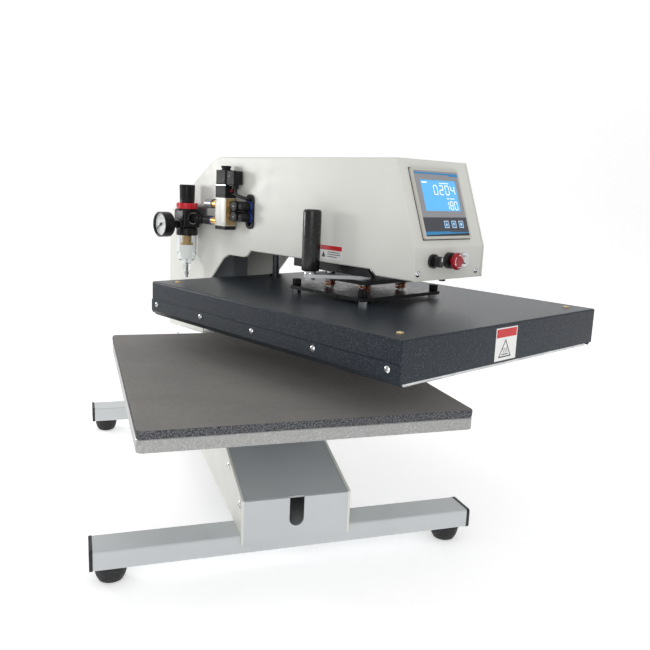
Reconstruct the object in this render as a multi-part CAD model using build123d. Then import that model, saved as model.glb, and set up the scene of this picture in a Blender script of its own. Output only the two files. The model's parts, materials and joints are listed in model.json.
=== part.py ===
from build123d import *
import math
import os

# Pneumatic swing-away heat press, 400 x 500 mm platens. Millimetres, +Z up.
# The origin is on the floor below the centre of the lower platen. The press
# faces -Y. The head is modelled closed, then swung clear about its column.

# ---- driving dimensions ----------------------------------------------------
PRESS_REACH = 400.0        # swing axis to the centre of the platens
SWING_REST = 24.2          # how far the head stands swung to the right
OPEN_GAP = 44.0            # pad top to heat plate with the head up
PAD_TOP = 213.5            # working height above the floor

PLATEN_W = 400.0           # lower platen, across
PLATEN_L = 500.0           # lower platen, front to back
PLATEN_T = 15.0
PLATEN_CORNER_R = 8.0
PAD_T = 9.5
PAD_CORNER_R = 7.0

COVER_W = 430.0            # heat platen cover, across
COVER_L = 530.0            # heat platen cover, along the arm
COVER_H = 50.0
COVER_WALL = 1.5
HEAT_PLATE_W = 410.0
HEAT_PLATE_L = 524.0
HEAT_PLATE_T = 18.0
HEAT_PLATE_SHOWS = 5.0     # how far the heat plate stands below the cover
HEAT_PLATE_CORNER_R = 6.0
BLANKET_T = 12.0           # heating element and insulation over the plate
STRIP_H = 18.0             # upright flange of the side strip
STRIP_BEVEL = 8.0
STRIP_RISE = 4.0           # start of the bevel above the cover's edge
STRIP_T = 1.5
STRIP_SCREWS = 5
STRIP_SCREW_R = 4.2
STRIP_SCREW_H = 2.4

TUBE_H = 25.0              # stand tube section
TUBE_D = 45.0
TUBE_WALL = 2.0
FRONT_TUBE_L = 488.0
REAR_TUBE_L = 454.0
FRONT_TUBE_Y = -156.8
END_CAP_T = 4.0
FOOT_H = 22.0
FOOT_R = 20.0
FOOT_TOP_R = 14.0
FOOT_INSET = 21.0          # foot centre to the end of its tube

SPINE_W = 141.0            # box between the two tubes, over its side plates
SPINE_PLATE_T = 3.0
SPINE_FRONT_TOP = 93.0
SPINE_LIP = 11.0           # how far the box front hangs over the tube
SPINE_SLOPE = 17.0
SPINE_SHEET_T = 2.0
SPINE_COVER_L = 124.0
U_SLOT_W = 19.0
U_SLOT_DEPTH = 38.0
SUPPORT_W = 120.0          # box post under the lower platen
SUPPORT_L = 150.0
SUPPORT_Y = 15.0
SUPPORT_WALL = 3.0
SUPPORT_TOP_W = 280.0
SUPPORT_TOP_L = 340.0
SUPPORT_TOP_T = 8.0
STAND_BOLT_R = 6.5

COLUMN_R = 25.0
COLUMN_TOP = 418.0
COLUMN_SHOULDER_R = 34.0
COLUMN_SHOULDER_H = 8.0
COLUMN_FLANGE = 110.0
COLUMN_FLANGE_T = 8.0
BUSH_T = 5.0
BUSH_H = 30.0
SLEEVE_WALL = 8.0
SLEEVE_BOTTOM = 212.0
SLEEVE_TOP = 405.0

ARM_W = 150.0              # over the two side plates
ARM_PLATE_T = 2.5
ARM_TOP = 514.0
ARM_LEG_BOTTOM = 201.0
ARM_REAR = 44.0            # behind the swing axis
ARM_LEG_FRONT = 72.0
ARM_LEG_FRONT_TOP = 290.0
ARM_SHOULDER = 415.0       # height where the rear chamfer starts
ARM_CHAMFER_FRONT = 104.0  # reach where the rear chamfer meets the top
ARM_ARCH_TOP = 363.0
ARM_HIP = 351.0            # lower shelf of the arch, above the leg
ARM_HEAD_TOP = 515.0       # reach of the control panel at its top
ARM_HEAD_BEND = 557.0      # reach of the control panel below its bend
ARM_BEND_Z = 399.0
ARM_HEAD_BOTTOM = 355.0
PANEL_RETURN = 65.0        # fold of the front panel under the head
SKIN_T = 2.0
PLATE_PROUD = 1.5          # right plate's edge in front of the panel
PLATE_EASE_R = 0.8
PLATE_ROUND_R = 2.3        # left plate's outer edge
BROW_R = 70.0              # rounding between rear chamfer and top
SHOULDER_R = 15.0
BEND_R = 8.0

BEAM_W = 60.0              # box beam inside the arm
BEAM_BOTTOM = 414.0
BEAM_WALL = 5.0
MOUNT_PLATE_T = 6.0
MOUNT_PLATE_REAR = 200.0
MOUNT_PLATE_FRONT = 470.0
CYL_BORE_R = 40.0
CYL_WALL = 4.0
CYL_HEAD = 100.0
CYL_HEAD_T = 14.0
CYL_BASE_T = 8.0           # plate that carries the cylinder
CYL_BASE_REAR = 308.0
CYL_BASE_FRONT = 478.0
CYL_BASE_LIP = 16.0
CYL_BASE_LIP_T = 4.0
PISTON_T = 16.0
ROD_R = 12.5
ROD_HOLE_CLEARANCE = 1.5
RUNNING = 0.05             # radial clearance of every running fit
SEAT = 0.02                # clearance of a pressed seat

MOUNTING_PLATE_L = 156.0   # black plate on the heat platen cover, along the arm
MOUNTING_PLATE_W = 172.0
MOUNTING_PLATE_T = 5.0
CORNER_BOLT_S = 70.0       # half spacing along the arm
CORNER_BOLT_T = 78.0       # half spacing across the arm
CORNER_NUT_H = 5.0
CORNER_HEAD_R = 6.5
CORNER_HEAD_H = 10.0
SPRING_S = 36.0
SPRING_T = 40.0
SPRING_H = 14.0
SPRING_R = 8.5
SPRING_WIRE_R = 1.5
SPRING_TURNS = 2.5
STUD_R = 4.0
STUD_HOLE_CLEARANCE = 0.6
NUT_R = 7.0
NUT_H = 6.0
UPPER_PLATE_L = 112.0
UPPER_PLATE_W = 120.0
UPPER_PLATE_T = 6.0
GUIDE_REACH = 166.0        # rear guide rod
GUIDE_T = 14.0
GUIDE_R = 6.0
GUIDE_FLANGE_R = 10.0
GUIDE_FLANGE_H = 4.0
GUIDE_TOP = 482.0
GUIDE_BUSH_WALL = 4.0
GUIDE_BUSH_H = 20.0
COVER_SCREW_INSET = 30.0
COVER_SCREW_R = 4.5
COVER_SCREW_H = 2.6

GRIP_REACH = 384.0         # handle
GRIP_T = -100.0
GRIP_R = 13.3
GRIP_H = 88.0
GRIP_GAP = 4.0
BAR_W = 20.0
BAR_T = 5.0

BEZEL_W = 101.0            # display unit on the sloped panel
BEZEL_H = 98.0
BEZEL_TOP = 13.7           # below the panel's top edge
BEZEL_T = -4.8
BEZEL_THICK = 4.0
BEZEL_DEPTH = 26.0         # housing behind the panel
SCREEN_W = 76.0
SCREEN_H = 43.6
SCREEN_OFFSET = 1.5        # screen centre to the right of the bezel's
SCREEN_TOP = 16.0          # below the bezel's top edge
SCREEN_T = 3.0
KEY_SIZE = 10.0
KEY_GAP = 6.0
KEY_FIRST = -0.5
KEY_DROP = 78.5            # key row below the bezel's top edge
KEY_PROUD = 0.8
KEY_TRAVEL = 0.5
KEY_CLEARANCE = 0.3

CONTROL_Z = 381.0          # row of switches on the upright panel
SELECTOR_T = -38.0
ESTOP_T = -4.0
START_T = 28.0
SWITCH_HOLE_R = 8.0
COLLAR_R = 9.5
COLLAR_H = 4.0
SELECTOR_R = 7.2
SELECTOR_H = 16.0
ESTOP_COLLAR_R = 11.0
ESTOP_COLLAR_H = 7.0
ESTOP_R = 11.6
ESTOP_HEAD_H = 8.0
ESTOP_STEM_R = 5.0
ESTOP_TRAVEL = 3.5
START_R = 6.0
START_PROUD = 3.0
BUTTON_CLEARANCE = 0.3
CONTACT_W = 20.0
CONTACT_H = 26.0
CONTACT_DEPTH = 28.0
PANEL_SCREW_R = 4.5

FRL_REACH = 52.0           # filter regulator, its upright axis
FRL_T = -98.0
FRL_BODY_W = 38.0
FRL_BODY_BOTTOM = 378.0
FRL_BODY_TOP = 424.0
RING_R = 18.4
RING_H = 10.0
KNOB_R = 13.6
KNOB_H = 31.0
KNOB_GAP = 0.5
KNOB_BORE_R = 7.0
BOWL_R = 17.0
BOWL_WALL = 2.2
BOWL_H = 53.0
FILTER_R = 8.0
FILTER_H = 22.0
DRAIN_R = 4.0
DRAIN_H = 22.0
DRAIN_GUIDE_H = 8.0
DRAIN_TRAVEL = 3.0
GAUGE_R = 21.5
GAUGE_DEPTH = 20.0
GAUGE_WALL = 2.0
GAUGE_STEM_R = 6.0
GAUGE_STEM_L = 16.0
GAUGE_Z = 397.0
INLET_R = 6.6              # G 1/4 port
INLET_DEPTH = 12.0
INLET_Z = 400.0

VALVE_REAR = 139.0         # solenoid valve on the side plate
VALVE_L = 29.0
VALVE_D = 22.0
VALVE_BOTTOM = 401.0
VALVE_TOP = 447.0
VALVE_STAND_OFF = 2.0
PILOT_H = 20.0
COIL_H = 24.0
COIL_GAP = 1.0
COIL_NUT_R = 7.0
COIL_NUT_H = 7.0
VALVE_FOOT_H = 6.0
PORT_T = -93.0             # line of the regulator outlet and the valve inlet
PORT_Z = 408.0
EXHAUST_Z = 436.0
BRASS_R = 6.2
BRASS_L = 14.0
MUFFLER_R = 8.0
MUFFLER_L = 19.0
ELBOW_R = 8.0
ELBOW_REACH = 206.0
ELBOW_T = -88.0
ELBOW_UPPER_Z = 435.0
ELBOW_LOWER_Z = 418.0
COLLET_R = 6.6
AIR_TUBE_R = 4.0
AIR_TUBE_END = 18.0        # how far each air tube runs on inside the arm
OVERRIDE_R = 2.2
OVERRIDE_L = 4.0
OVERRIDE_TRAVEL = 1.0
DIN_L = 20.0
DIN_H = 22.0
DIN_D = 18.0
CABLE_R = 2.6
CABLE_BEND_R = 7.0
GROMMET_REACH = 206.0
GROMMET_Z = 427.0
GROMMET_W = 14.0
GROMMET_H = 50.0
GROMMET_LIP = 3.0
GROMMET_T = 3.0

# ---- derived levels and places ---------------------------------------------
PLATEN_TOP = PAD_TOP - PAD_T
PLATEN_BOTTOM = PLATEN_TOP - PLATEN_T
SUPPORT_TOP = PLATEN_BOTTOM
SPINE_TOP = SUPPORT_TOP - SUPPORT_TOP_T
TUBE_TOP = FOOT_H + TUBE_H
FRONT_FACE = FRONT_TUBE_Y - TUBE_D / 2 - SPINE_PLATE_T
REAR_TUBE_Y = PRESS_REACH
SPINE_REAR = REAR_TUBE_Y + TUBE_D / 2
PLATE_BOTTOM = PAD_TOP + OPEN_GAP
COVER_BOTTOM = PLATE_BOTTOM + HEAT_PLATE_SHOWS
COVER_TOP = COVER_BOTTOM + COVER_H
MOUNTING_Z = COVER_TOP + CORNER_NUT_H
MOUNTING_TOP = MOUNTING_Z + MOUNTING_PLATE_T
UPPER_Z = MOUNTING_TOP + SPRING_H
UPPER_TOP = UPPER_Z + UPPER_PLATE_T
CYL_BASE_Z = ARM_ARCH_TOP + 3.0
CYL_BOTTOM = CYL_BASE_Z + CYL_BASE_T
MOUNT_PLATE_Z = ARM_TOP - SKIN_T - 12.0 - MOUNT_PLATE_T
CYL_TOP = MOUNT_PLATE_Z
PISTON_TOP = CYL_TOP - CYL_HEAD_T - 9.0
SLEEVE_R = COLUMN_R + RUNNING + BUSH_T + SEAT
ARM_IN = ARM_W / 2 - ARM_PLATE_T
PANEL_FRONT = ARM_HEAD_BEND
VALVE_FACE = -ARM_W / 2 - VALVE_STAND_OFF
VALVE_T = VALVE_FACE - VALVE_D / 2
VALVE_FRONT = VALVE_REAR + VALVE_L
PILOT_TOP = VALVE_TOP + PILOT_H
OVERRIDE_Z = VALVE_TOP + 12.0
COIL_BOTTOM = PILOT_TOP + COIL_GAP
COIL_TOP = COIL_BOTTOM + COIL_H
BAR_Z = UPPER_TOP
GRIP_Z = BAR_Z + BAR_T + GRIP_GAP


# ---- helpers ---------------------------------------------------------------
def block(x0, x1, y0, y1, z0, z1):
    """Box between two corners."""
    return Pos((x0 + x1) / 2, (y0 + y1) / 2, (z0 + z1) / 2) * Box(x1 - x0, y1 - y0, z1 - z0)


def post(x, y, z0, z1, r):
    """Upright cylinder."""
    return Pos(x, y, (z0 + z1) / 2) * Cylinder(r, z1 - z0)


def rod_x(y, z, x0, x1, r):
    """Cylinder along X."""
    return Pos((x0 + x1) / 2, y, z) * Rot(0, 90, 0) * Cylinder(r, x1 - x0)


def rod_y(x, z, y0, y1, r):
    """Cylinder along Y."""
    return Pos(x, (y0 + y1) / 2, z) * Rot(90, 0, 0) * Cylinder(r, y1 - y0)


def hexagon(x, y, z0, z1, r, bore=0.0):
    """Upright nut of corner radius r."""
    nut = Pos(x, y, z0) * extrude(RegularPolygon(r, 6), z1 - z0)
    return nut - post(x, y, z0, z1, bore) if bore else nut


def side_profile(points, x0, x1):
    """Plate between x0 and x1 with an outline of (reach, height) points."""
    outline = make_face(Polyline(*[(-s, z) for s, z in points], close=True))
    return Pos(x0, 0, 0) * extrude(Plane.YZ * outline, x1 - x0)


def swung(shape):
    """Place an arm piece: built about the swing axis, reach along -Y."""
    return Pos(0, PRESS_REACH, 0) * Rot(0, 0, SWING_REST) * shape


def at(reach, across, z):
    """Location in the arm's own frame."""
    return Pos(across, -reach, z)


def mirror_pair(shape):
    """A shape and its mirror image across the YZ plane."""
    return [shape, mirror(shape, Plane.YZ)]


def group(*shapes):
    """Separate solids in one node."""
    solids = []
    for shape in shapes:
        solids += shape if isinstance(shape, list) else [shape]
    return Compound([piece for shape in solids for piece in shape.solids()])


def save(name, shape):
    export_step(shape, "parts/" + name + ".step")


# ---- stand -----------------------------------------------------------------
def stand_tube(length, y):
    outer = Pos(0, y, FOOT_H + TUBE_H / 2) * Box(length, TUBE_D, TUBE_H)
    outer = fillet(outer.edges().filter_by(Axis.X), 3.0)
    bore = Pos(0, y, FOOT_H + TUBE_H / 2)
    bore *= Box(length, TUBE_D - 2 * TUBE_WALL, TUBE_H - 2 * TUBE_WALL)
    return outer - bore


def tube_end_caps():
    caps = []
    for length, y in ((FRONT_TUBE_L, FRONT_TUBE_Y), (REAR_TUBE_L, REAR_TUBE_Y)):
        cap = Box(END_CAP_T, TUBE_D + 1, TUBE_H + 1)
        cap = fillet(cap.edges().filter_by(Axis.X), 3.5)
        plug = Box(10, TUBE_D - 2 * TUBE_WALL - 0.4, TUBE_H - 2 * TUBE_WALL - 0.4)
        x = length / 2 + END_CAP_T / 2
        cap = Pos(x, y, FOOT_H + TUBE_H / 2) * (cap + Pos(-END_CAP_T / 2 - 5, 0, 0) * plug)
        caps += mirror_pair(cap)
    return group(caps)


def levelling_feet():
    feet = []
    for length, y in ((FRONT_TUBE_L, FRONT_TUBE_Y), (REAR_TUBE_L, REAR_TUBE_Y)):
        bulge = FOOT_H * 0.35
        outline = Polyline((0, 0), (FOOT_TOP_R - 3, 0), (FOOT_TOP_R, 2), (FOOT_R, FOOT_H - bulge),
                           (FOOT_R, FOOT_H), (0, FOOT_H), close=True)
        foot = revolve(Plane.XZ * make_face(outline), Axis.Z)
        feet += mirror_pair(Pos(length / 2 - FOOT_INSET, y, 0) * foot)
    return group(feet)


def spine_outline():
    """Front lip, sloped top and flat rear of the box's side plates."""
    front = -FRONT_FACE
    lip = front - SPINE_PLATE_T + 0.1
    run = (SPINE_TOP - SPINE_FRONT_TOP) / math.tan(math.radians(SPINE_SLOPE))
    return [(front, TUBE_TOP - SPINE_LIP), (front, SPINE_FRONT_TOP), (front - run, SPINE_TOP),
            (-SPINE_REAR, SPINE_TOP), (-SPINE_REAR, TUBE_TOP), (lip, TUBE_TOP),
            (lip, TUBE_TOP - SPINE_LIP)]


def spine_side_plates():
    """Mirrored pair of plates on the two tubes."""
    x1 = SPINE_W / 2
    return group(mirror_pair(side_profile(spine_outline(), x1 - SPINE_PLATE_T, x1)))


def spine_inside():
    return SPINE_W / 2 - SPINE_PLATE_T


def spine_tray():
    """Front panel and floor folded from one sheet, with the U slot."""
    half = spine_inside()
    top = SPINE_FRONT_TOP - 1.5
    rear = SUPPORT_Y - SUPPORT_L / 2
    panel = block(-half, half, FRONT_FACE + 0.3, FRONT_FACE + 0.3 + SPINE_SHEET_T,
                  TUBE_TOP - SPINE_LIP, top)
    floor = block(-half, half, FRONT_FACE + 0.3, rear, TUBE_TOP, TUBE_TOP + SPINE_SHEET_T)
    slot_end = top - U_SLOT_DEPTH + U_SLOT_W / 2
    cut = block(-U_SLOT_W / 2, U_SLOT_W / 2, FRONT_FACE - 5, FRONT_FACE + 5, slot_end, top + 5)
    cut += rod_y(0, slot_end, FRONT_FACE - 5, FRONT_FACE + 5, U_SLOT_W / 2)
    return panel + floor - cut


def spine_cover():
    """Sloped cover sheet, set just below the edges of the side plates."""
    half = spine_inside()
    slope = math.radians(SPINE_SLOPE)
    y0 = FRONT_FACE + 0.3 + SPINE_SHEET_T + 0.1
    z0 = SPINE_FRONT_TOP - 0.5
    y1 = y0 + SPINE_COVER_L * math.cos(slope)
    z1 = z0 + SPINE_COVER_L * math.sin(slope)
    drop = SPINE_SHEET_T / math.cos(slope)
    return side_profile([(-y0, z0), (-y1, z1), (-y1, z1 - drop), (-y0, z0 - drop)], -half, half)


def platen_support():
    """Box post through the spine with the flange that carries the platen."""
    x, y = SUPPORT_W / 2, SUPPORT_L / 2
    z0 = TUBE_TOP + SPINE_SHEET_T
    wall = block(-x, x, SUPPORT_Y - y, SUPPORT_Y + y, z0, SPINE_TOP)
    w = SUPPORT_WALL
    wall -= block(-x + w, x - w, SUPPORT_Y - y + w, SUPPORT_Y + y - w, z0 - 1, SPINE_TOP + 1)
    flange = block(-SUPPORT_TOP_W / 2, SUPPORT_TOP_W / 2, SUPPORT_Y - SUPPORT_TOP_L / 2,
                   SUPPORT_Y + SUPPORT_TOP_L / 2, SPINE_TOP, SUPPORT_TOP)
    return wall + flange - support_bolts(0.3)


def support_bolts(gap=0.0):
    """Screws up through the flange into the platen."""
    bolts = []
    for sx in (-1, 1):
        for sy in (-1, 1):
            x = sx * (SUPPORT_TOP_W / 2 - 20)
            y = SUPPORT_Y + sy * (SUPPORT_TOP_L / 2 - 20)
            shank = post(x, y, SPINE_TOP, PLATEN_BOTTOM + 9, 4.0 + gap)
            if not gap:
                shank += post(x, y, SPINE_TOP - 6, SPINE_TOP, STAND_BOLT_R)
            bolts.append(shank)
    return bolts


def column_bolt_places():
    edge = COLUMN_FLANGE / 2 - 12
    return [(sx * edge, REAR_TUBE_Y + sy * 12) for sx in (-1, 1) for sy in (-1, 1)]


def stand_screws():
    """Platen screws, column screws and the screws of the spine box."""
    column = []
    for x, y in column_bolt_places():
        top = TUBE_TOP + COLUMN_FLANGE_T
        column.append(post(x, y, top, top + 6, STAND_BOLT_R) + post(x, y, TUBE_TOP - 8, top, 4.0))
    spine = []
    slope = math.tan(math.radians(SPINE_SLOPE))
    for along in (10.0, 82.0):
        z = SPINE_FRONT_TOP + along * slope - 11
        screw = rod_x(FRONT_FACE + along, z, SPINE_W / 2, SPINE_W / 2 + 2, 3.5)
        spine += mirror_pair(screw)
    return group(support_bolts(), column, spine)


def lower_platen():
    slab = block(-PLATEN_W / 2, PLATEN_W / 2, -PLATEN_L / 2, PLATEN_L / 2, PLATEN_BOTTOM, PLATEN_TOP)
    slab = fillet(slab.edges().filter_by(Axis.Z), PLATEN_CORNER_R)
    slab = chamfer(slab.faces().sort_by(Axis.Z)[-1].edges(), 1.0)
    for bolt in support_bolts(SEAT):
        slab -= bolt
    return slab


def platen_pad():
    pad = block(-PLATEN_W / 2, PLATEN_W / 2, -PLATEN_L / 2, PLATEN_L / 2, PLATEN_TOP, PAD_TOP)
    return fillet(pad.edges().filter_by(Axis.Z), PAD_CORNER_R)


def pivot_column():
    y = PRESS_REACH
    half = COLUMN_FLANGE / 2
    flange = block(-half, half, y - TUBE_D / 2, y + TUBE_D / 2, TUBE_TOP, TUBE_TOP + COLUMN_FLANGE_T)
    for x, by in column_bolt_places():
        flange -= post(x, by, TUBE_TOP - 1, TUBE_TOP + COLUMN_FLANGE_T + 1, 4.0 + SEAT)
    shoulder_top = SLEEVE_BOTTOM - 0.3
    shoulder = post(0, y, shoulder_top - COLUMN_SHOULDER_H, shoulder_top, COLUMN_SHOULDER_R)
    return flange + post(0, y, TUBE_TOP, COLUMN_TOP, COLUMN_R) + shoulder


def rear_tube():
    tube = stand_tube(REAR_TUBE_L, REAR_TUBE_Y)
    for x, y in column_bolt_places():
        tube -= post(x, y, TUBE_TOP - 9, TUBE_TOP + 1, 4.0 + SEAT)
    return tube


# ---- arm: built about the swing axis, reach along -Y -----------------------
def arm_outline(proud):
    """Side plate of the arm; proud is how far it stands in front of the panel."""
    top, bend = ARM_HEAD_TOP + proud, ARM_HEAD_BEND + proud
    return [(-ARM_REAR, ARM_LEG_BOTTOM), (-ARM_REAR, ARM_SHOULDER), (ARM_CHAMFER_FRONT, ARM_TOP),
            (top, ARM_TOP), (bend, ARM_BEND_Z), (bend, ARM_HEAD_BOTTOM),
            (490, ARM_HEAD_BOTTOM), (480, ARM_ARCH_TOP), (208, ARM_ARCH_TOP), (198, ARM_HIP + 2),
            (188, ARM_HIP), (147, ARM_HIP), (132, ARM_HIP - 7), (ARM_LEG_FRONT + 8, ARM_LEG_FRONT_TOP),
            (ARM_LEG_FRONT, ARM_LEG_FRONT_TOP - 14), (ARM_LEG_FRONT, ARM_LEG_BOTTOM)]


def arm_side_plate(x0, x1, proud):
    plate = side_profile(arm_outline(proud), x0, x1)
    for z, r in ((ARM_TOP, BROW_R), (ARM_SHOULDER, SHOULDER_R), (ARM_BEND_Z, BEND_R)):
        edges = [e for e in plate.edges().filter_by(Axis.X) if abs(e.center().Z - z) < 0.01]
        plate = fillet([max(edges, key=lambda e: e.center().Y)], r)
    return plate


def arm_right_plate():
    """Side plate that stands a little proud of the panel, its edges eased."""
    plate = arm_side_plate(ARM_IN, ARM_W / 2, PLATE_PROUD)
    return fillet(plate.faces().sort_by(Axis.X)[-1].edges(), PLATE_EASE_R)


def arm_left_plate():
    """Side plate that carries the valve gear, ground flush with the panel and skin."""
    plate = arm_side_plate(-ARM_W / 2, -ARM_IN, 0.0)
    plate = fillet(plate.faces().sort_by(Axis.X)[0].edges(), PLATE_ROUND_R)
    return plate - grommet_core(GROMMET_W + 0.4, GROMMET_H + 0.4, -ARM_W / 2 - 2, -ARM_IN + 2)


def grommet_core(width, height, x0, x1):
    """Upright slot shape through the left side plate."""
    return Pos(x0, 0, 0) * extrude(
        Plane.YZ * (Pos(-GROMMET_REACH, GROMMET_Z) * Rot(0, 0, 90) * SlotOverall(height, width)),
        x1 - x0)


def hose_grommet():
    x0 = -ARM_W / 2
    lip_w, lip_h = GROMMET_W + 2 * GROMMET_LIP, GROMMET_H + 2 * GROMMET_LIP
    body = grommet_core(lip_w, lip_h, x0 - GROMMET_T, x0)
    body += grommet_core(GROMMET_W, GROMMET_H, x0 - GROMMET_T, -ARM_IN + GROMMET_T)
    body += grommet_core(lip_w, lip_h, -ARM_IN, -ARM_IN + GROMMET_T)
    hole = grommet_core(GROMMET_W - 3, GROMMET_H - 3, x0 - GROMMET_T - 1, -ARM_IN + GROMMET_T + 1)
    return body - hole


def skin_block(inset, x0, x1):
    """Solid filling the arm behind and below its skin, inset by a thickness."""
    slope = math.atan2(ARM_TOP - ARM_SHOULDER, ARM_CHAMFER_FRONT + ARM_REAR)
    knee = inset * math.tan((math.pi / 2 - slope) / 2)
    brow = inset * math.tan(slope / 2)
    low = ARM_LEG_BOTTOM - inset
    front = ARM_HEAD_TOP - 0.2 + inset
    points = [(-ARM_REAR + inset, low), (-ARM_REAR + inset, ARM_SHOULDER - knee),
              (ARM_CHAMFER_FRONT + brow, ARM_TOP - inset), (front, ARM_TOP - inset), (front, low)]
    solid = side_profile(points, x0, x1)
    for z, r in ((ARM_TOP - inset, BROW_R - inset), (ARM_SHOULDER - knee, SHOULDER_R - inset)):
        edges = [e for e in solid.edges().filter_by(Axis.X) if abs(e.center().Z - z) < 0.01]
        solid = fillet([max(edges, key=lambda e: e.center().Y)], r)
    return solid


def arm_top_skin():
    """Rear and top sheet, folded, between the side plates."""
    return skin_block(0.0, -ARM_IN, ARM_IN) - skin_block(SKIN_T, -ARM_IN - 1, ARM_IN + 1)


def panel_slope():
    """Angle of the display panel away from the vertical, in degrees."""
    return math.degrees(math.atan2(ARM_HEAD_BEND - ARM_HEAD_TOP, ARM_TOP - ARM_BEND_Z))


def panel_plane():
    """On the panel's outer face at its top edge: x across, y up the slope."""
    lean = math.radians(panel_slope())
    out = (0, -math.cos(lean), math.sin(lean))
    return Plane(origin=(0, -ARM_HEAD_TOP, ARM_TOP), x_dir=(1, 0, 0), z_dir=out)


def control_panel():
    """Sloped display panel, upright switch panel and a return under the head."""
    lean = math.radians(panel_slope())
    t = SKIN_T
    top, bend, low = ARM_HEAD_TOP, ARM_HEAD_BEND, ARM_HEAD_BOTTOM
    under = t / math.cos(lean)
    shift = t * math.tan(lean / 2)
    drop = ARM_TOP - t
    lap = t * math.tan(lean)
    rear = bend - PANEL_RETURN
    front = [(top, ARM_TOP), (bend, ARM_BEND_Z), (bend, low), (rear, low), (rear, low + t), (bend - t, low + t)]
    back = [(bend - t, ARM_BEND_Z - shift), (top + lap - under, drop), (top - 0.2, drop), (top - 0.2, ARM_TOP)]
    outline = front + back
    panel = side_profile(outline, -ARM_IN, ARM_IN)
    edges = [e for e in panel.edges().filter_by(Axis.X) if abs(e.center().Z - ARM_BEND_Z) < 0.01]
    panel = fillet(edges, BEND_R)
    window = Box(BEZEL_W - 8, BEZEL_H - 8, 20)
    panel -= panel_plane() * (Pos(BEZEL_T, -BEZEL_TOP - BEZEL_H / 2, 0) * window)
    for across in (SELECTOR_T, ESTOP_T, START_T):
        panel -= rod_y(across, CONTROL_Z, -bend - 5, -bend + 8, SWITCH_HOLE_R + 0.1)
    return panel


def arm_beam():
    """Bearing sleeve welded to the box beam and the cylinder's top plate."""
    z1 = MOUNT_PLATE_Z
    end = PRESS_REACH - CYL_HEAD / 2 - 3
    heel = BEAM_BOTTOM - 74
    points = [(20, heel), (20, z1 - 48), (95, z1), (end, z1), (end, BEAM_BOTTOM), (112, BEAM_BOTTOM), (50, heel)]
    outline = Plane.YZ * make_face(Polyline(*[(-s, z) for s, z in points], close=True))
    half = BEAM_W / 2
    beam = Pos(-half, 0, 0) * extrude(outline, BEAM_W)
    beam -= Pos(BEAM_WALL - half, 0, 0) * extrude(offset(outline, -BEAM_WALL), BEAM_W - 2 * BEAM_WALL)
    sleeve_r = SLEEVE_R + SLEEVE_WALL
    web = block(-ARM_IN, ARM_IN, -5, 5, SLEEVE_BOTTOM + 10, SLEEVE_TOP - 10)
    top = block(-ARM_IN, ARM_IN, -MOUNT_PLATE_FRONT, -MOUNT_PLATE_REAR, z1, z1 + MOUNT_PLATE_T)
    body = beam + post(0, 0, SLEEVE_BOTTOM, SLEEVE_TOP, sleeve_r) + web + top
    body -= post(0, 0, SLEEVE_BOTTOM - 1, z1 - 20, SLEEVE_R)
    guide_hole_r = GUIDE_R + RUNNING + GUIDE_BUSH_WALL + SEAT
    return body - post(GUIDE_T, -GUIDE_REACH, BEAM_BOTTOM - 1, BEAM_BOTTOM + BEAM_WALL + 1, guide_hole_r)


def bronze_bushes():
    """Two column bushes and the guide rod's bush."""
    r = COLUMN_R + RUNNING
    lower = post(0, 0, SLEEVE_BOTTOM, SLEEVE_BOTTOM + BUSH_H, r + BUSH_T)
    lower -= post(0, 0, SLEEVE_BOTTOM - 1, SLEEVE_BOTTOM + BUSH_H + 1, r)
    top = SLEEVE_TOP
    upper = post(0, 0, top - BUSH_H, top, r + BUSH_T) - post(0, 0, top - BUSH_H - 1, top + 1, r)
    z0 = BEAM_BOTTOM + BEAM_WALL / 2 - GUIDE_BUSH_H / 2
    g = GUIDE_R + RUNNING
    guide = post(GUIDE_T, -GUIDE_REACH, z0, z0 + GUIDE_BUSH_H, g + GUIDE_BUSH_WALL)
    guide -= post(GUIDE_T, -GUIDE_REACH, z0 - 1, z0 + GUIDE_BUSH_H + 1, g)
    return group(lower, upper, guide)


def cylinder_base():
    """Black channel under the cylinder, its lips shaped like the arch."""
    z0, z1 = CYL_BASE_Z, CYL_BOTTOM
    plate = block(-ARM_IN, ARM_IN, -CYL_BASE_FRONT, -CYL_BASE_REAR, z0, z1)
    low = z0 - CYL_BASE_LIP
    rear, nose = CYL_BASE_REAR, CYL_BASE_FRONT
    outline = [(rear, z0), (rear, low), (nose, low), (nose - 14, low + 14), (nose - 14, z0)]
    lip = side_profile(outline, ARM_IN - 6 - CYL_BASE_LIP_T, ARM_IN - 6)
    body = plate + lip + mirror(lip, Plane.YZ)
    return body - post(0, -PRESS_REACH, z0 - 1, z1 + 1, ROD_R + ROD_HOLE_CLEARANCE)


def air_cylinder():
    """Barrel, two end heads and four tie rods."""
    y = -PRESS_REACH
    half = CYL_HEAD / 2
    z0, z1 = CYL_BOTTOM + CYL_HEAD_T, CYL_TOP - CYL_HEAD_T
    barrel = post(0, y, z0, z1, CYL_BORE_R + CYL_WALL) - post(0, y, z0 - 1, z1 + 1, CYL_BORE_R)
    lower = block(-half, half, y - half, y + half, CYL_BOTTOM, z0)
    lower = fillet(lower.edges().filter_by(Axis.Z), 8.0) - post(0, y, 0, z0 + 1, ROD_R + RUNNING)
    upper = block(-half, half, y - half, y + half, z1, CYL_TOP)
    upper = fillet(upper.edges().filter_by(Axis.Z), 8.0)
    ties = []
    for sx in (-1, 1):
        for sy in (-1, 1):
            ties.append(post(sx * (half - 9), y + sy * (half - 9), z0, z1, 4.0))
    return group(barrel, lower, upper, ties)


def piston_rod():
    y = -PRESS_REACH
    rod = post(0, y, UPPER_TOP, PISTON_TOP, ROD_R)
    return rod + post(0, y, PISTON_TOP - PISTON_T, PISTON_TOP, CYL_BORE_R - RUNNING)


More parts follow.
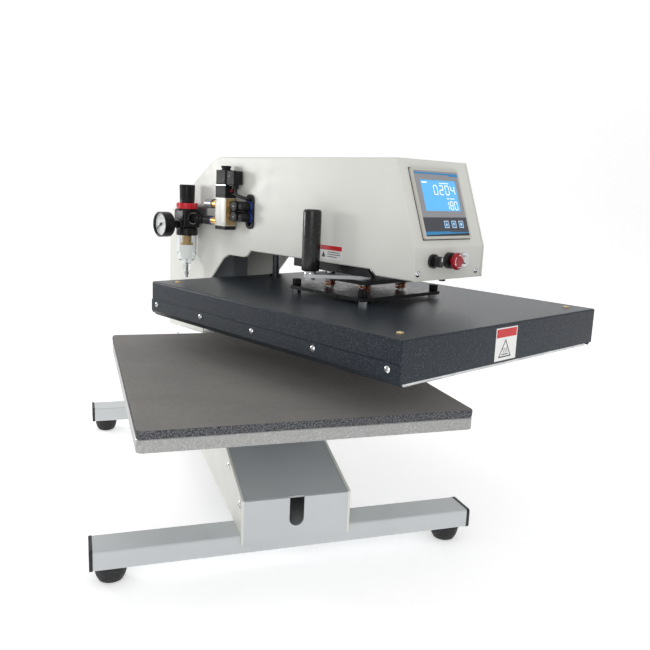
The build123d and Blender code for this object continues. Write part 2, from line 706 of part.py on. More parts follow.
# ---- press head and heat platen --------------------------------------------
def spring_places():
    return [(PRESS_REACH + ss * SPRING_S, st * SPRING_T) for ss in (-1, 1) for st in (-1, 1)]


def corner_places():
    return [(PRESS_REACH + ss * CORNER_BOLT_S, st * CORNER_BOLT_T) for ss in (-1, 1) for st in (-1, 1)]


def upper_plate():
    x, y = UPPER_PLATE_W / 2, UPPER_PLATE_L / 2
    plate = block(-x, x, -PRESS_REACH - y, -PRESS_REACH + y, UPPER_Z, UPPER_TOP)
    plate = fillet(plate.edges().filter_by(Axis.Z), 6.0)
    for s, t in spring_places():
        plate -= post(t, -s, UPPER_Z - 1, UPPER_TOP + 1, STUD_R + STUD_HOLE_CLEARANCE)
    return plate


def float_springs():
    springs = []
    pitch = (SPRING_H - 2 * SPRING_WIRE_R) / SPRING_TURNS
    for s, t in spring_places():
        path = Helix(pitch, SPRING_H - 2 * SPRING_WIRE_R, SPRING_R - SPRING_WIRE_R)
        wire = sweep(Plane(path @ 0, z_dir=path % 0) * Circle(SPRING_WIRE_R), path, is_frenet=True)
        springs.append(at(s, t, MOUNTING_TOP + SPRING_WIRE_R) * wire)
    return group(springs)


def carriage_studs():
    """Chrome spacer nuts of the mounting plate, and the spring studs with their nuts."""
    studs = [hexagon(t, -s, COVER_TOP, MOUNTING_Z, NUT_R, STUD_R + SEAT) for s, t in corner_places()]
    for s, t in spring_places():
        on_bar = s > PRESS_REACH and t < 0
        seat = UPPER_TOP + (BAR_T if on_bar else 0.0) + SEAT
        stud = post(t, -s, MOUNTING_Z, seat + NUT_H + 3, STUD_R)
        studs.append(stud + hexagon(t, -s, seat, seat + NUT_H, NUT_R))
    return group(studs)


def mounting_plate():
    x, y = MOUNTING_PLATE_W / 2, MOUNTING_PLATE_L / 2
    plate = block(-x, x, -PRESS_REACH - y, -PRESS_REACH + y, MOUNTING_Z, MOUNTING_TOP)
    plate = fillet(plate.edges().filter_by(Axis.Z), 4.0)
    for s, t in corner_places() + spring_places():
        plate -= post(t, -s, MOUNTING_Z - 1, MOUNTING_TOP + 1, STUD_R + SEAT)
    return plate


def corner_bolts():
    """Black cap screws on the mounting plate's corners."""
    bolts = []
    for s, t in corner_places():
        bolt = post(t, -s, COVER_TOP - 8, MOUNTING_TOP, STUD_R)
        head = post(t, -s, MOUNTING_TOP, MOUNTING_TOP + CORNER_HEAD_H, CORNER_HEAD_R)
        head = chamfer(head.faces().sort_by(Axis.Z)[-1].edges(), 0.8)
        top = MOUNTING_TOP + CORNER_HEAD_H
        bolts.append(bolt + head - hexagon(t, -s, top - 5, top + 1, 3.4))
    return group(bolts)


def platen_cover():
    """Folded sheet box, open below, over the heat plate."""
    x, y = COVER_W / 2, COVER_L / 2
    shell = block(-x, x, -PRESS_REACH - y, -PRESS_REACH + y, COVER_BOTTOM, COVER_TOP)
    shell = fillet(shell.edges().filter_by(Axis.Z), 2.5)
    shell = fillet(shell.faces().sort_by(Axis.Z)[-1].edges(), 2.5)
    w = COVER_WALL
    front, back = -PRESS_REACH - y + w, -PRESS_REACH + y - w
    shell -= block(-x + w, x - w, front, back, COVER_BOTTOM - 1, COVER_TOP - w)
    rise = COVER_BOTTOM + STRIP_RISE + 1.0
    shell -= block(-x - 1, x + 1, front + 0.4, back - 0.4, COVER_BOTTOM - 1, rise)
    for s, t in corner_places():
        shell -= post(t, -s, COVER_TOP - 5, COVER_TOP + 1, STUD_R + SEAT)
    return shell


def side_strips():
    """Angle strips along both sides, bevelled in towards the plate."""
    x = COVER_W / 2
    low = COVER_BOTTOM + STRIP_RISE
    top = low + STRIP_H
    fold = STRIP_T * math.tan(math.radians(22.5))
    foot = low - STRIP_BEVEL
    outside = [(x, top), (x + STRIP_T, top), (x + STRIP_T, low), (x + STRIP_T - STRIP_BEVEL, foot)]
    inside = [(x + fold - STRIP_BEVEL, foot + STRIP_T), (x, low + fold)]
    face = Plane.XZ * make_face(Polyline(*outside, *inside, close=True))
    strip = Pos(0, -PRESS_REACH + COVER_L / 2 - 2, 0) * extrude(face, COVER_L - 4)
    return group(mirror_pair(strip))


def strip_screw_places():
    first = PRESS_REACH - COVER_L / 2 + 18
    step = (COVER_L - 36) / (STRIP_SCREWS - 1)
    return [first + i * step for i in range(STRIP_SCREWS)]


def cover_screws():
    """Chrome dome screws along the strips and brass ones on the top."""
    screws = []
    x = COVER_W / 2 + STRIP_T
    z = COVER_BOTTOM + STRIP_RISE + STRIP_H * 0.58
    for s in strip_screw_places():
        dome = rod_x(-s, z, x, x + STRIP_SCREW_H, STRIP_SCREW_R)
        dome = fillet(dome.faces().sort_by(Axis.X)[-1].edges(), 2.0)
        screws += mirror_pair(dome)
    for ss in (-1, 1):
        for st in (-1, 1):
            s = PRESS_REACH + ss * (COVER_L / 2 - COVER_SCREW_INSET)
            t = st * (COVER_W / 2 - COVER_SCREW_INSET)
            head = post(t, -s, COVER_TOP, COVER_TOP + COVER_SCREW_H, COVER_SCREW_R)
            screws.append(fillet(head.faces().sort_by(Axis.Z)[-1].edges(), 1.2))
    return group(screws)


def heat_plate():
    x, y = HEAT_PLATE_W / 2, HEAT_PLATE_L / 2
    plate = block(-x, x, -PRESS_REACH - y, -PRESS_REACH + y, PLATE_BOTTOM, PLATE_BOTTOM + HEAT_PLATE_T)
    plate = fillet(plate.edges().filter_by(Axis.Z), HEAT_PLATE_CORNER_R)
    return chamfer(plate.faces().sort_by(Axis.Z)[0].edges(), 1.2)


def heater_blanket():
    x, y = HEAT_PLATE_W / 2 - 12, HEAT_PLATE_L / 2 - 12
    z = PLATE_BOTTOM + HEAT_PLATE_T
    return block(-x, x, -PRESS_REACH - y, -PRESS_REACH + y, z, z + BLANKET_T)


def guide_rod():
    rod = post(GUIDE_T, -GUIDE_REACH, COVER_TOP, GUIDE_TOP, GUIDE_R)
    return rod + post(GUIDE_T, -GUIDE_REACH, COVER_TOP, COVER_TOP + GUIDE_FLANGE_H, GUIDE_FLANGE_R)


def handle_bar():
    """Flat bar on the upper plate, with the spacer and washer of the grip."""
    s0, t0 = PRESS_REACH + SPRING_S, -SPRING_T
    ds, dt = GRIP_REACH - s0, GRIP_T - t0
    length = math.hypot(ds, dt)
    angle = math.degrees(math.atan2(-ds, dt))
    bar = extrude(SlotCenterToCenter(length, BAR_W), BAR_T)
    bar = Pos((t0 + GRIP_T) / 2, -(s0 + GRIP_REACH) / 2, BAR_Z) * Rot(0, 0, angle) * bar
    bar -= post(t0, -s0, BAR_Z - 1, BAR_Z + BAR_T + 1, STUD_R + STUD_HOLE_CLEARANCE)
    bar += post(GRIP_T, -GRIP_REACH, BAR_Z + BAR_T, GRIP_Z, 8.0)
    bar += post(GRIP_T, -GRIP_REACH, BAR_Z - 4, BAR_Z, 7.0)
    return bar + post(GRIP_T, -GRIP_REACH, GRIP_Z, GRIP_Z + GRIP_H * 0.8, 5.0)


def handle_grip():
    r, h = GRIP_R, GRIP_H
    outline = Polyline((0, 0), (r - 2.5, 0), (r - 1.0, 2), (r - 1.0, 8), (r - 0.4, h * 0.4), (r, h - 6),
                       (r - 2, h - 1), (r - 3.5, h), (0, h), close=True)
    grip = at(GRIP_REACH, GRIP_T, GRIP_Z) * revolve(Plane.XZ * make_face(outline), Axis.Z)
    return grip - post(GRIP_T, -GRIP_REACH, GRIP_Z - 1, GRIP_Z + h * 0.8 + SEAT, 5.0 + SEAT)


# ---- controls --------------------------------------------------------------
def key_places():
    return [KEY_FIRST + i * (KEY_SIZE + KEY_GAP) for i in range(3)]


def display_bezel():
    """Display unit: frame proud of the panel and its housing behind."""
    y = -BEZEL_TOP - BEZEL_H / 2
    frame = Pos(BEZEL_T, y, BEZEL_THICK / 2) * Box(BEZEL_W, BEZEL_H, BEZEL_THICK)
    frame = fillet(frame.edges().filter_by(Axis.Z), 2.5)
    body = Pos(BEZEL_T, y, -BEZEL_DEPTH / 2) * Box(BEZEL_W - 9, BEZEL_H - 9, BEZEL_DEPTH)
    unit = frame + body
    window_y = -BEZEL_TOP - SCREEN_TOP - SCREEN_H / 2
    window = Pos(BEZEL_T + SCREEN_OFFSET, window_y, BEZEL_THICK - SCREEN_T / 2 + 0.5)
    unit -= window * Box(SCREEN_W, SCREEN_H, SCREEN_T + 1)
    for x in key_places():
        pocket = KEY_SIZE + 2 * KEY_CLEARANCE
        depth = KEY_PROUD + KEY_TRAVEL + 1
        unit -= Pos(BEZEL_T + x, -BEZEL_TOP - KEY_DROP, BEZEL_THICK) * Box(pocket, pocket, 2 * depth)
    return panel_plane() * unit


def display_screen():
    y = -BEZEL_TOP - SCREEN_TOP - SCREEN_H / 2
    glass = Pos(BEZEL_T + SCREEN_OFFSET, y, BEZEL_THICK - SCREEN_T / 2 - 0.4)
    return panel_plane() * (glass * Box(SCREEN_W - 0.2, SCREEN_H - 0.2, SCREEN_T - 0.8))


def display_key(x):
    y = -BEZEL_TOP - KEY_DROP
    depth = KEY_TRAVEL + 1 - 0.7
    key = Pos(BEZEL_T + x, y, BEZEL_THICK + KEY_PROUD / 2 - depth / 2)
    key *= Box(KEY_SIZE, KEY_SIZE, KEY_PROUD + depth)
    return panel_plane() * key


def switch_bodies():
    """Selector bush, emergency stop base and start ring, with their contact blocks."""
    y = -PANEL_FRONT
    selector = rod_y(SELECTOR_T, CONTROL_Z, y - COLLAR_H, y, COLLAR_R)
    selector += rod_y(SELECTOR_T, CONTROL_Z, y, y + 10, SWITCH_HOLE_R)
    selector -= rod_y(SELECTOR_T, CONTROL_Z, y - COLLAR_H - 1, y + 4, SELECTOR_R + BUTTON_CLEARANCE)
    stop = rod_y(ESTOP_T, CONTROL_Z, y - ESTOP_COLLAR_H, y, ESTOP_COLLAR_R)
    stop += rod_y(ESTOP_T, CONTROL_Z, y, y + 10, SWITCH_HOLE_R)
    stop -= rod_y(ESTOP_T, CONTROL_Z, y - ESTOP_COLLAR_H - 1, y + 4, ESTOP_STEM_R + BUTTON_CLEARANCE)
    start = rod_y(START_T, CONTROL_Z, y - COLLAR_H, y, COLLAR_R)
    start += rod_y(START_T, CONTROL_Z, y, y + 10, SWITCH_HOLE_R)
    start -= rod_y(START_T, CONTROL_Z, y - COLLAR_H - 1, y + 4, START_R + BUTTON_CLEARANCE)
    blocks = []
    for across in (SELECTOR_T, ESTOP_T, START_T):
        blocks.append(block(across - CONTACT_W / 2, across + CONTACT_W / 2, y + 10, y + 10 + CONTACT_DEPTH,
                            CONTROL_Z - CONTACT_H / 2, CONTROL_Z + CONTACT_H / 2 - 2))
    return group(selector, stop, start, blocks)


def selector_knob():
    y = -PANEL_FRONT
    knob = rod_y(SELECTOR_T, CONTROL_Z, y - SELECTOR_H, y + 3, SELECTOR_R)
    knob = chamfer(knob.faces().sort_by(Axis.Y)[0].edges(), 1.0)
    flat = SELECTOR_R - 2.6
    for side in (-1, 1):
        x = SELECTOR_T + side * (flat + 5)
        knob -= block(x - 5, x + 5, y - SELECTOR_H - 1, y - COLLAR_H - 2, CONTROL_Z - 12, CONTROL_Z + 12)
    return knob


def estop_button():
    y = -PANEL_FRONT - ESTOP_COLLAR_H - ESTOP_TRAVEL - 0.5
    head = rod_y(ESTOP_T, CONTROL_Z, y - ESTOP_HEAD_H, y, ESTOP_R)
    head = fillet(head.faces().sort_by(Axis.Y)[0].edges(), 4.0)
    return head + rod_y(ESTOP_T, CONTROL_Z, y, -PANEL_FRONT - 1, ESTOP_STEM_R)


def start_button():
    y = -PANEL_FRONT - COLLAR_H
    button = rod_y(START_T, CONTROL_Z, y - START_PROUD, -PANEL_FRONT + 1, START_R)
    return chamfer(button.faces().sort_by(Axis.Y)[0].edges(), 0.6)


def panel_screws():
    """Cross-head screws of the switch panel and the small foot below it."""
    y = -PANEL_FRONT
    screws = []
    for across in (-67.0, 61.0):
        head = rod_y(across, ARM_HEAD_BOTTOM + 10, y - 2.4, y, PANEL_SCREW_R)
        screws.append(fillet(head.faces().sort_by(Axis.Y)[0].edges(), 1.2))
    foot = post(-3.0, -PANEL_FRONT + 9, ARM_HEAD_BOTTOM - 3.5, ARM_HEAD_BOTTOM, 4.5)
    return group(screws, foot)


# ---- filter regulator ------------------------------------------------------
def regulator_body():
    half = FRL_BODY_W / 2
    x, y = FRL_T, -FRL_REACH
    body = block(x - half, x + half, y - half, y + half, FRL_BODY_BOTTOM, FRL_BODY_TOP)
    body = fillet(body.edges().filter_by(Axis.Z), 7.0)
    body += post(x, y, FRL_BODY_TOP, FRL_BODY_TOP + RING_H + KNOB_H - 4, KNOB_BORE_R - RUNNING - 0.2)
    body -= post(x, y, FRL_BODY_BOTTOM - 1, FRL_BODY_BOTTOM + 8, BOWL_R - 1.0)
    body -= rod_y(x, INLET_Z, y + half - INLET_DEPTH, y + half + 1, INLET_R)
    return body


def regulator_ring():
    x, y = FRL_T, -FRL_REACH
    ring = post(x, y, FRL_BODY_TOP, FRL_BODY_TOP + RING_H, RING_R)
    ring = chamfer(ring.edges().group_by(Axis.Z)[-1], 1.0)
    return ring - post(x, y, FRL_BODY_TOP - 1, FRL_BODY_TOP + RING_H + 1, KNOB_BORE_R - RUNNING)


def regulator_knob():
    x, y = FRL_T, -FRL_REACH
    z0 = FRL_BODY_TOP + RING_H + KNOB_GAP
    knob = post(x, y, z0, z0 + KNOB_H, KNOB_R)
    knob = fillet(knob.faces().sort_by(Axis.Z)[-1].edges(), 2.0)
    return knob - post(x, y, z0 - 1, z0 + KNOB_H - 2, KNOB_BORE_R)


def regulator_bowl():
    """Clear bowl, tapered at its foot, with the drain's guide."""
    top, r, w = FRL_BODY_BOTTOM, BOWL_R, BOWL_WALL
    low = top - BOWL_H
    outside = [(0, low), (5, low), (8, low + 5), (r - 3, low + 9), (r, low + 20), (r, top), (0, top)]
    up = low + w
    within = [(0, up), (4, up), (7, up + 5), (r - 3 - w, up + 9), (r - w, up + 20), (r - w, top), (0, top)]
    bowl = revolve(Plane.XZ * make_face(Polyline(*outside, close=True)), Axis.Z)
    bowl -= revolve(Plane.XZ * make_face(Polyline(*within, close=True)), Axis.Z)
    bowl += post(0, 0, low - DRAIN_GUIDE_H, low + w, 6.0)
    bowl -= post(0, 0, low - DRAIN_GUIDE_H - 1, low + w + 1, DRAIN_R - 1.5 + RUNNING)
    return at(FRL_REACH, FRL_T, 0) * bowl


def regulator_filter():
    x, y, top = FRL_T, -FRL_REACH, FRL_BODY_BOTTOM + 8
    element = post(x, y, top - FILTER_H, top, FILTER_R)
    return element + post(x, y, top - FILTER_H - 3, top - FILTER_H, FILTER_R + 3)


def drain_valve():
    """Push-up drain under the bowl."""
    x, y = FRL_T, -FRL_REACH
    low = FRL_BODY_BOTTOM - BOWL_H - DRAIN_GUIDE_H
    stem = post(x, y, low - DRAIN_H + DRAIN_GUIDE_H, low + DRAIN_GUIDE_H + 4, DRAIN_R - 1.5)
    return stem + post(x, y, low - 9, low - DRAIN_TRAVEL - 0.5, DRAIN_R)


def regulator_bracket():
    """Bent steel bracket from the regulator's neck to the side plate."""
    x, y = FRL_T, -FRL_REACH
    z = FRL_BODY_TOP + RING_H / 2
    plate = block(x, -ARM_W / 2 - 2.5, y - 14, y + 14, z - 1.5, z + 1.5)
    plate -= post(x, y, z - 3, z + 3, RING_R + 0.1)
    flange = block(-ARM_W / 2 - 2.5, -ARM_W / 2, y - 30, y + 14, z - 26, z + 1.5)
    return plate + flange


def gauge_case():
    """Pressure gauge case with its stem into the regulator."""
    x1 = FRL_T - FRL_BODY_W / 2
    x0 = x1 - GAUGE_STEM_L
    y = -FRL_REACH
    case = rod_x(y, GAUGE_Z, x0 - GAUGE_DEPTH, x0, GAUGE_R)
    case = fillet(case.faces().sort_by(Axis.X)[-1].edges(), 4.0)
    case -= rod_x(y, GAUGE_Z, x0 - GAUGE_DEPTH - 1, x0 - GAUGE_DEPTH + 5, GAUGE_R - GAUGE_WALL)
    case += rod_x(y, GAUGE_Z, x0 - GAUGE_DEPTH + 4, x0 - GAUGE_DEPTH + 6.5, 1.0)
    return case + rod_x(y, GAUGE_Z, x0, x1, GAUGE_STEM_R)


def gauge_face_x():
    return FRL_T - FRL_BODY_W / 2 - GAUGE_STEM_L - GAUGE_DEPTH


def gauge_lens():
    """Clear disc in the mouth of the gauge."""
    x0 = gauge_face_x()
    return rod_x(-FRL_REACH, GAUGE_Z, x0, x0 + 1.2, GAUGE_R - GAUGE_WALL - SEAT)


def gauge_pointer():
    """Pointer of the gauge, on its spindle, between dial and lens."""
    x = gauge_face_x() + 2.0
    hub = rod_x(0, 0, x, x + 1.0, 2.4) - rod_x(0, 0, x - 1, x + 3, 1.0 + RUNNING)
    needle = block(x + 0.2, x + 0.8, 2.0, 15.0, -0.8, 0.8) + block(x + 0.2, x + 0.8, -6.0, -2.0, -1.2, 1.2)
    return Pos(0, -FRL_REACH, GAUGE_Z) * Rot(-35, 0, 0) * (hub + needle)


def push_fittings():
    """Black push-in fittings: regulator outlet and the two valve elbows."""
    y0 = -(FRL_REACH + FRL_BODY_W / 2)
    outlet = rod_y(PORT_T, PORT_Z, y0 - 20, y0, ELBOW_R)
    collar = rod_y(PORT_T, PORT_Z, y0 - 26, y0 - 20, COLLET_R)
    pieces = [(outlet + collar) - rod_y(PORT_T, PORT_Z, y0 - 27, y0 - 18, AIR_TUBE_R + SEAT)]
    for z in (ELBOW_UPPER_Z, ELBOW_LOWER_Z):
        run = rod_y(ELBOW_T, z, -ELBOW_REACH, -(VALVE_FRONT + 6), ELBOW_R)
        corner = Pos(ELBOW_T, -ELBOW_REACH, z) * Sphere(ELBOW_R)
        leg = rod_x(-ELBOW_REACH, z, ELBOW_T, ELBOW_T + ELBOW_R + 1, ELBOW_R - 0.6)
        collet = rod_x(-ELBOW_REACH, z, ELBOW_T + ELBOW_R + 1, -ARM_W / 2 - GROMMET_T + 2.5, COLLET_R - 1.4)
        bore = rod_x(-ELBOW_REACH, z, ELBOW_T + 4, -ARM_W / 2 + 5, AIR_TUBE_R + SEAT)
        pieces.append(run + corner + leg + collet - bore)
    return group(pieces)


# ---- solenoid valve --------------------------------------------------------
def valve_body():
    """Extruded valve body with the pad that stands it off the side plate."""
    x0, x1 = VALVE_FACE - VALVE_D, VALVE_FACE
    body = block(x0, x1, -VALVE_FRONT, -VALVE_REAR, VALVE_BOTTOM, VALVE_TOP)
    body = fillet(body.edges().filter_by(Axis.Z), 1.5)
    pad = block(x1, -ARM_W / 2, -VALVE_FRONT + 5, -VALVE_REAR - 5, VALVE_BOTTOM + 5, VALVE_TOP - 5)
    return body + pad


def valve_foot():
    """Moulded cap under the valve body."""
    x0, x1 = VALVE_FACE - VALVE_D + 0.5, VALVE_FACE - 0.5
    return block(x0, x1, -VALVE_FRONT + 0.5, -VALVE_REAR - 0.5, VALVE_BOTTOM - VALVE_FOOT_H, VALVE_BOTTOM)


def valve_pilot():
    x0, x1 = VALVE_FACE - VALVE_D, VALVE_FACE
    pilot = block(x0, x1, -VALVE_FRONT, -VALVE_REAR, VALVE_TOP, PILOT_TOP)
    pilot = fillet(pilot.edges().filter_by(Axis.Z), 1.5)
    y = -VALVE_FRONT
    return pilot - rod_y(VALVE_T, OVERRIDE_Z, y - 1, y + OVERRIDE_L + 1, OVERRIDE_R + RUNNING)


def valve_coil():
    """Moulded pieces: coil with its nut, plug, pilot block and bottom cap."""
    x0, x1 = VALVE_FACE - VALVE_D, VALVE_FACE
    coil = block(x0, x1, -VALVE_FRONT + 1, -VALVE_REAR - 1, COIL_BOTTOM, COIL_TOP)
    coil = fillet(coil.edges().filter_by(Axis.Z), 2.0)
    y = -(VALVE_REAR + VALVE_L / 2)
    coil += post(VALVE_T, y, PILOT_TOP, COIL_BOTTOM, 8.0)
    coil += post(VALVE_T, y, COIL_TOP, COIL_TOP + COIL_NUT_H, COIL_NUT_R)
    return group(coil, valve_connector(), valve_pilot(), valve_foot())


def valve_connector():
    """DIN plug on the side of the coil, cable gland downwards."""
    y1 = -VALVE_FRONT + 1 - SEAT
    z1 = COIL_TOP - 1
    plug = block(VALVE_T - DIN_D / 2, VALVE_T + DIN_D / 2, y1 - DIN_L, y1, z1 - DIN_H, z1)
    plug = fillet(plug.edges().filter_by(Axis.X), 2.0)
    gland = post(VALVE_T, y1 - DIN_L + 7, z1 - DIN_H - 7, z1 - DIN_H, 5.5)
    return plug + gland


def connector_exit():
    """Place of the cable's end below the gland: reach, height."""
    return VALVE_FRONT - 1 + SEAT + DIN_L - 7, COIL_TOP - 1 - DIN_H - 7


def valve_cable():
    """Lead from the plug's gland into the arm through the grommet."""
    s, z = connector_exit()
    x = VALVE_T
    end_z = GROMMET_Z + GROMMET_H / 2 - 4.8
    route = [(x, -s, z), (x, -s, z - 9), (x + 1, -GROMMET_REACH, end_z + 0.6),
             (-ARM_W / 2 + AIR_TUBE_END, -GROMMET_REACH - 1, end_z)]
    line = FilletPolyline(*route, radius=CABLE_BEND_R)
    return sweep(Plane(line @ 0, z_dir=line % 0) * Circle(CABLE_R), line)


def valve_leads():
    """Air tube from regulator to valve, the two tubes into the arm and the coil's cable."""
    y0 = -(FRL_REACH + FRL_BODY_W / 2)
    tubes = [rod_y(PORT_T, PORT_Z, -VALVE_REAR + BRASS_L, y0 - 18, AIR_TUBE_R)]
    for z in (ELBOW_UPPER_Z, ELBOW_LOWER_Z):
        tubes.append(rod_x(-ELBOW_REACH, z, ELBOW_T + 4, -ARM_W / 2 + AIR_TUBE_END, AIR_TUBE_R))
    return group(tubes, valve_cable())


def brass_fittings():
    """Brass fittings on both sides of the valve, and the filter in the bowl."""
    y = -VALVE_REAR
    inlet = rod_y(PORT_T, PORT_Z, y, y + BRASS_L, BRASS_R)
    hex_end = y + BRASS_L - 3
    neck = rod_y(PORT_T, EXHAUST_Z, y, hex_end, BRASS_R)
    muffler = rod_y(PORT_T, EXHAUST_Z, hex_end, hex_end + MUFFLER_L, MUFFLER_R)
    tip = rod_y(PORT_T, EXHAUST_Z, hex_end + MUFFLER_L, hex_end + MUFFLER_L + 5, BRASS_R - 1)
    pieces = [inlet, neck, muffler, tip]
    for z in (ELBOW_UPPER_Z, ELBOW_LOWER_Z):
        pieces.append(rod_y(ELBOW_T, z, -VALVE_FRONT - 6, -VALVE_FRONT, BRASS_R))
    return group(pieces, regulator_filter())


def override_button():
    y0 = -VALVE_FRONT - OVERRIDE_TRAVEL - 0.3
    return rod_y(VALVE_T, OVERRIDE_Z, y0, y0 + OVERRIDE_L + 0.2, OVERRIDE_R)


# ---- write every node ------------------------------------------------------
os.makedirs("parts", exist_ok=True)

save("front_tube", stand_tube(FRONT_TUBE_L, FRONT_TUBE_Y))
save("rear_tube", rear_tube())
save("tube_end_caps", tube_end_caps())
save("levelling_feet", levelling_feet())
save("spine_side_plates", spine_side_plates())
save("spine_tray", spine_tray())
save("spine_cover", spine_cover())
save("platen_support", platen_support())
save("stand_screws", stand_screws())
save("lower_platen", lower_platen())
save("platen_pad", platen_pad())
save("pivot_column", pivot_column())

ARM_NODES = {
    "arm_left_plate": arm_left_plate,
    "arm_right_plate": arm_right_plate,
    "arm_top_skin": arm_top_skin,
    "control_panel": control_panel,
    "arm_beam": arm_beam,
    "bronze_bushes": bronze_bushes,
    "cylinder_base": cylinder_base,
    "air_cylinder": air_cylinder,
    "display_bezel": display_bezel,
    "display_screen": display_screen,
    "switch_bodies": switch_bodies,
    "panel_screws": panel_screws,
    "hose_grommet": hose_grommet,
    "regulator_bracket": regulator_bracket,
    "regulator_body": regulator_body,
    "regulator_ring": regulator_ring,
    "regulator_bowl": regulator_bowl,
    "gauge_case": gauge_case,
    "gauge_lens": gauge_lens,
    "push_fittings": push_fittings,
    "valve_body": valve_body,
    "valve_coil": valve_coil,
    "brass_fittings": brass_fittings,
    "valve_leads": valve_leads,
    "selector_knob": selector_knob,
    "estop_button": estop_button,
    "start_button": start_button,
    "regulator_knob": regulator_knob,
    "gauge_pointer": gauge_pointer,
    "drain_valve": drain_valve,
    "override_button": override_button,
    "piston_rod": piston_rod,
    "upper_plate": upper_plate,
    "handle_bar": handle_bar,
    "handle_grip": handle_grip,
    "float_springs": float_springs,
    "carriage_studs": carriage_studs,
    "mounting_plate": mounting_plate,
    "corner_bolts": corner_bolts,
    "platen_cover": platen_cover,
    "side_strips": side_strips,
    "cover_screws": cover_screws,
    "heat_plate": heat_plate,
    "heater_blanket": heater_blanket,
    "guide_rod": guide_rod,
}
for index, across in enumerate(key_places()):
    save("display_key_" + str(index + 1), swung(display_key(across)))
for node, make in ARM_NODES.items():
    save(node, swung(make()))
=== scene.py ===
import bmesh
import bpy
import json
import math
from mathutils import Matrix, Vector


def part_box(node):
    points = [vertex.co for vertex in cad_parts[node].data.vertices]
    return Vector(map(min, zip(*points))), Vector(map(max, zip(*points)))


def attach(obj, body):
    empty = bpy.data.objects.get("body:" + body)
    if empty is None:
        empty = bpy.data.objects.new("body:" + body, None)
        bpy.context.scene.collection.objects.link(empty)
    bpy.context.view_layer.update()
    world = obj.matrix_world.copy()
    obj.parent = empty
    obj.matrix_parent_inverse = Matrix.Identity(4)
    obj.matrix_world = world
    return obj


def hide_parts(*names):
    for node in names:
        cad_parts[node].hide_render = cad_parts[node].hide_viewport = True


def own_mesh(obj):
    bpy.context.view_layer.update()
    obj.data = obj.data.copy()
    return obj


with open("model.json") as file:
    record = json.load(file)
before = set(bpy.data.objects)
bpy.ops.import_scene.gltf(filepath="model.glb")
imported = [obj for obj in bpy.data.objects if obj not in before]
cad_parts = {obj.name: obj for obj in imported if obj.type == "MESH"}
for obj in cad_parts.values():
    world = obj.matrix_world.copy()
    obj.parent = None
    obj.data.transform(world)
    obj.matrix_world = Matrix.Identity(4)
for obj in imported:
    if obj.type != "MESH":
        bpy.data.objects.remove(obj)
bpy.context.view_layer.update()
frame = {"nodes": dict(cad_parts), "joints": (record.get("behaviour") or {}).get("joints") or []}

# ---- camera ------------------------------------------------------------------------------
# A 40 mm lens at a standing person's distance, to the left of the press and a little above
# the level of its head, turned right and tipped down towards the platens.
camera = bpy.data.objects.new("camera", bpy.data.cameras.new("camera"))
LENS_MM = 40.52
SENSOR_MM = 36.0
CAMERA_PLACE = (-0.25608, -0.99775, 0.47209)
CAMERA_TURN = -0.33326
CAMERA_TIP = 0.18661
CAMERA_ROLL = 0.04327
camera.data.lens = LENS_MM
camera.data.sensor_width = SENSOR_MM
camera.data.clip_start = 0.05
ahead = Vector((-math.sin(CAMERA_TURN) * math.cos(CAMERA_TIP),
                math.cos(CAMERA_TURN) * math.cos(CAMERA_TIP), -math.sin(CAMERA_TIP)))
level = Vector((math.cos(CAMERA_TURN), math.sin(CAMERA_TURN), 0.0))
across = Matrix.Rotation(CAMERA_ROLL, 3, -ahead) @ level
camera.matrix_world = Matrix.Translation(CAMERA_PLACE) @ Matrix(
    (across, across.cross(ahead), -ahead)).transposed().to_4x4()
bpy.context.scene.collection.objects.link(camera)
bpy.context.scene.camera = camera

# ---- studio ------------------------------------------------------------------------------
# A lit sweep of white paper under and behind the press, large soft lights above, in front and
# on the right, and a small one behind on the left that throws shadows along the arm.
def new_finish(name, colour, roughness, metallic=0.0):
    """A material with its plain values on the shader; colour is in screen values 0-255."""
    made = bpy.data.materials.new(name)
    made.use_nodes = True
    shader = made.node_tree.nodes["Principled BSDF"]
    linear = [((c / 255 + 0.055) / 1.055) ** 2.4 if c > 10 else c / 255 / 12.92 for c in colour]
    shader.inputs["Base Color"].default_value = (*linear, 1.0)
    shader.inputs["Roughness"].default_value = roughness
    shader.inputs["Metallic"].default_value = metallic
    return made


SWEEP_HALF = 6.0
SWEEP_BACK = 3.2
SWEEP_RADIUS = 1.5
SWEEP_TOP = 5.0
SWEEP_STEPS = 16
PAPER_GLOW = 0.38
paper = bmesh.new()
line = [(-SWEEP_HALF, 0.0), (SWEEP_BACK - SWEEP_RADIUS, 0.0)]
for step in range(1, SWEEP_STEPS + 1):
    turn = math.pi / 2 * step / SWEEP_STEPS
    line.append((SWEEP_BACK - SWEEP_RADIUS + SWEEP_RADIUS * math.sin(turn),
                 SWEEP_RADIUS - SWEEP_RADIUS * math.cos(turn)))
line.append((SWEEP_BACK, SWEEP_TOP))
rows = [[paper.verts.new((x, y, z)) for x in (-SWEEP_HALF, SWEEP_HALF)] for y, z in line]
for low, high in zip(rows, rows[1:]):
    paper.faces.new((low[0], low[1], high[1], high[0])).smooth = True
sweep_mesh = bpy.data.meshes.new("paper_sweep")
paper.to_mesh(sweep_mesh)
sweep = bpy.data.objects.new("paper_sweep", sweep_mesh)
white_paper = new_finish("studio_paper", (250, 250, 250), 0.9)
paper_shader = white_paper.node_tree.nodes["Principled BSDF"]
paper_shader.inputs["Emission Color"].default_value = (1.0, 1.0, 1.0, 1.0)
paper_shader.inputs["Emission Strength"].default_value = PAPER_GLOW
sweep.data.materials.append(white_paper)
bpy.context.scene.collection.objects.link(sweep)


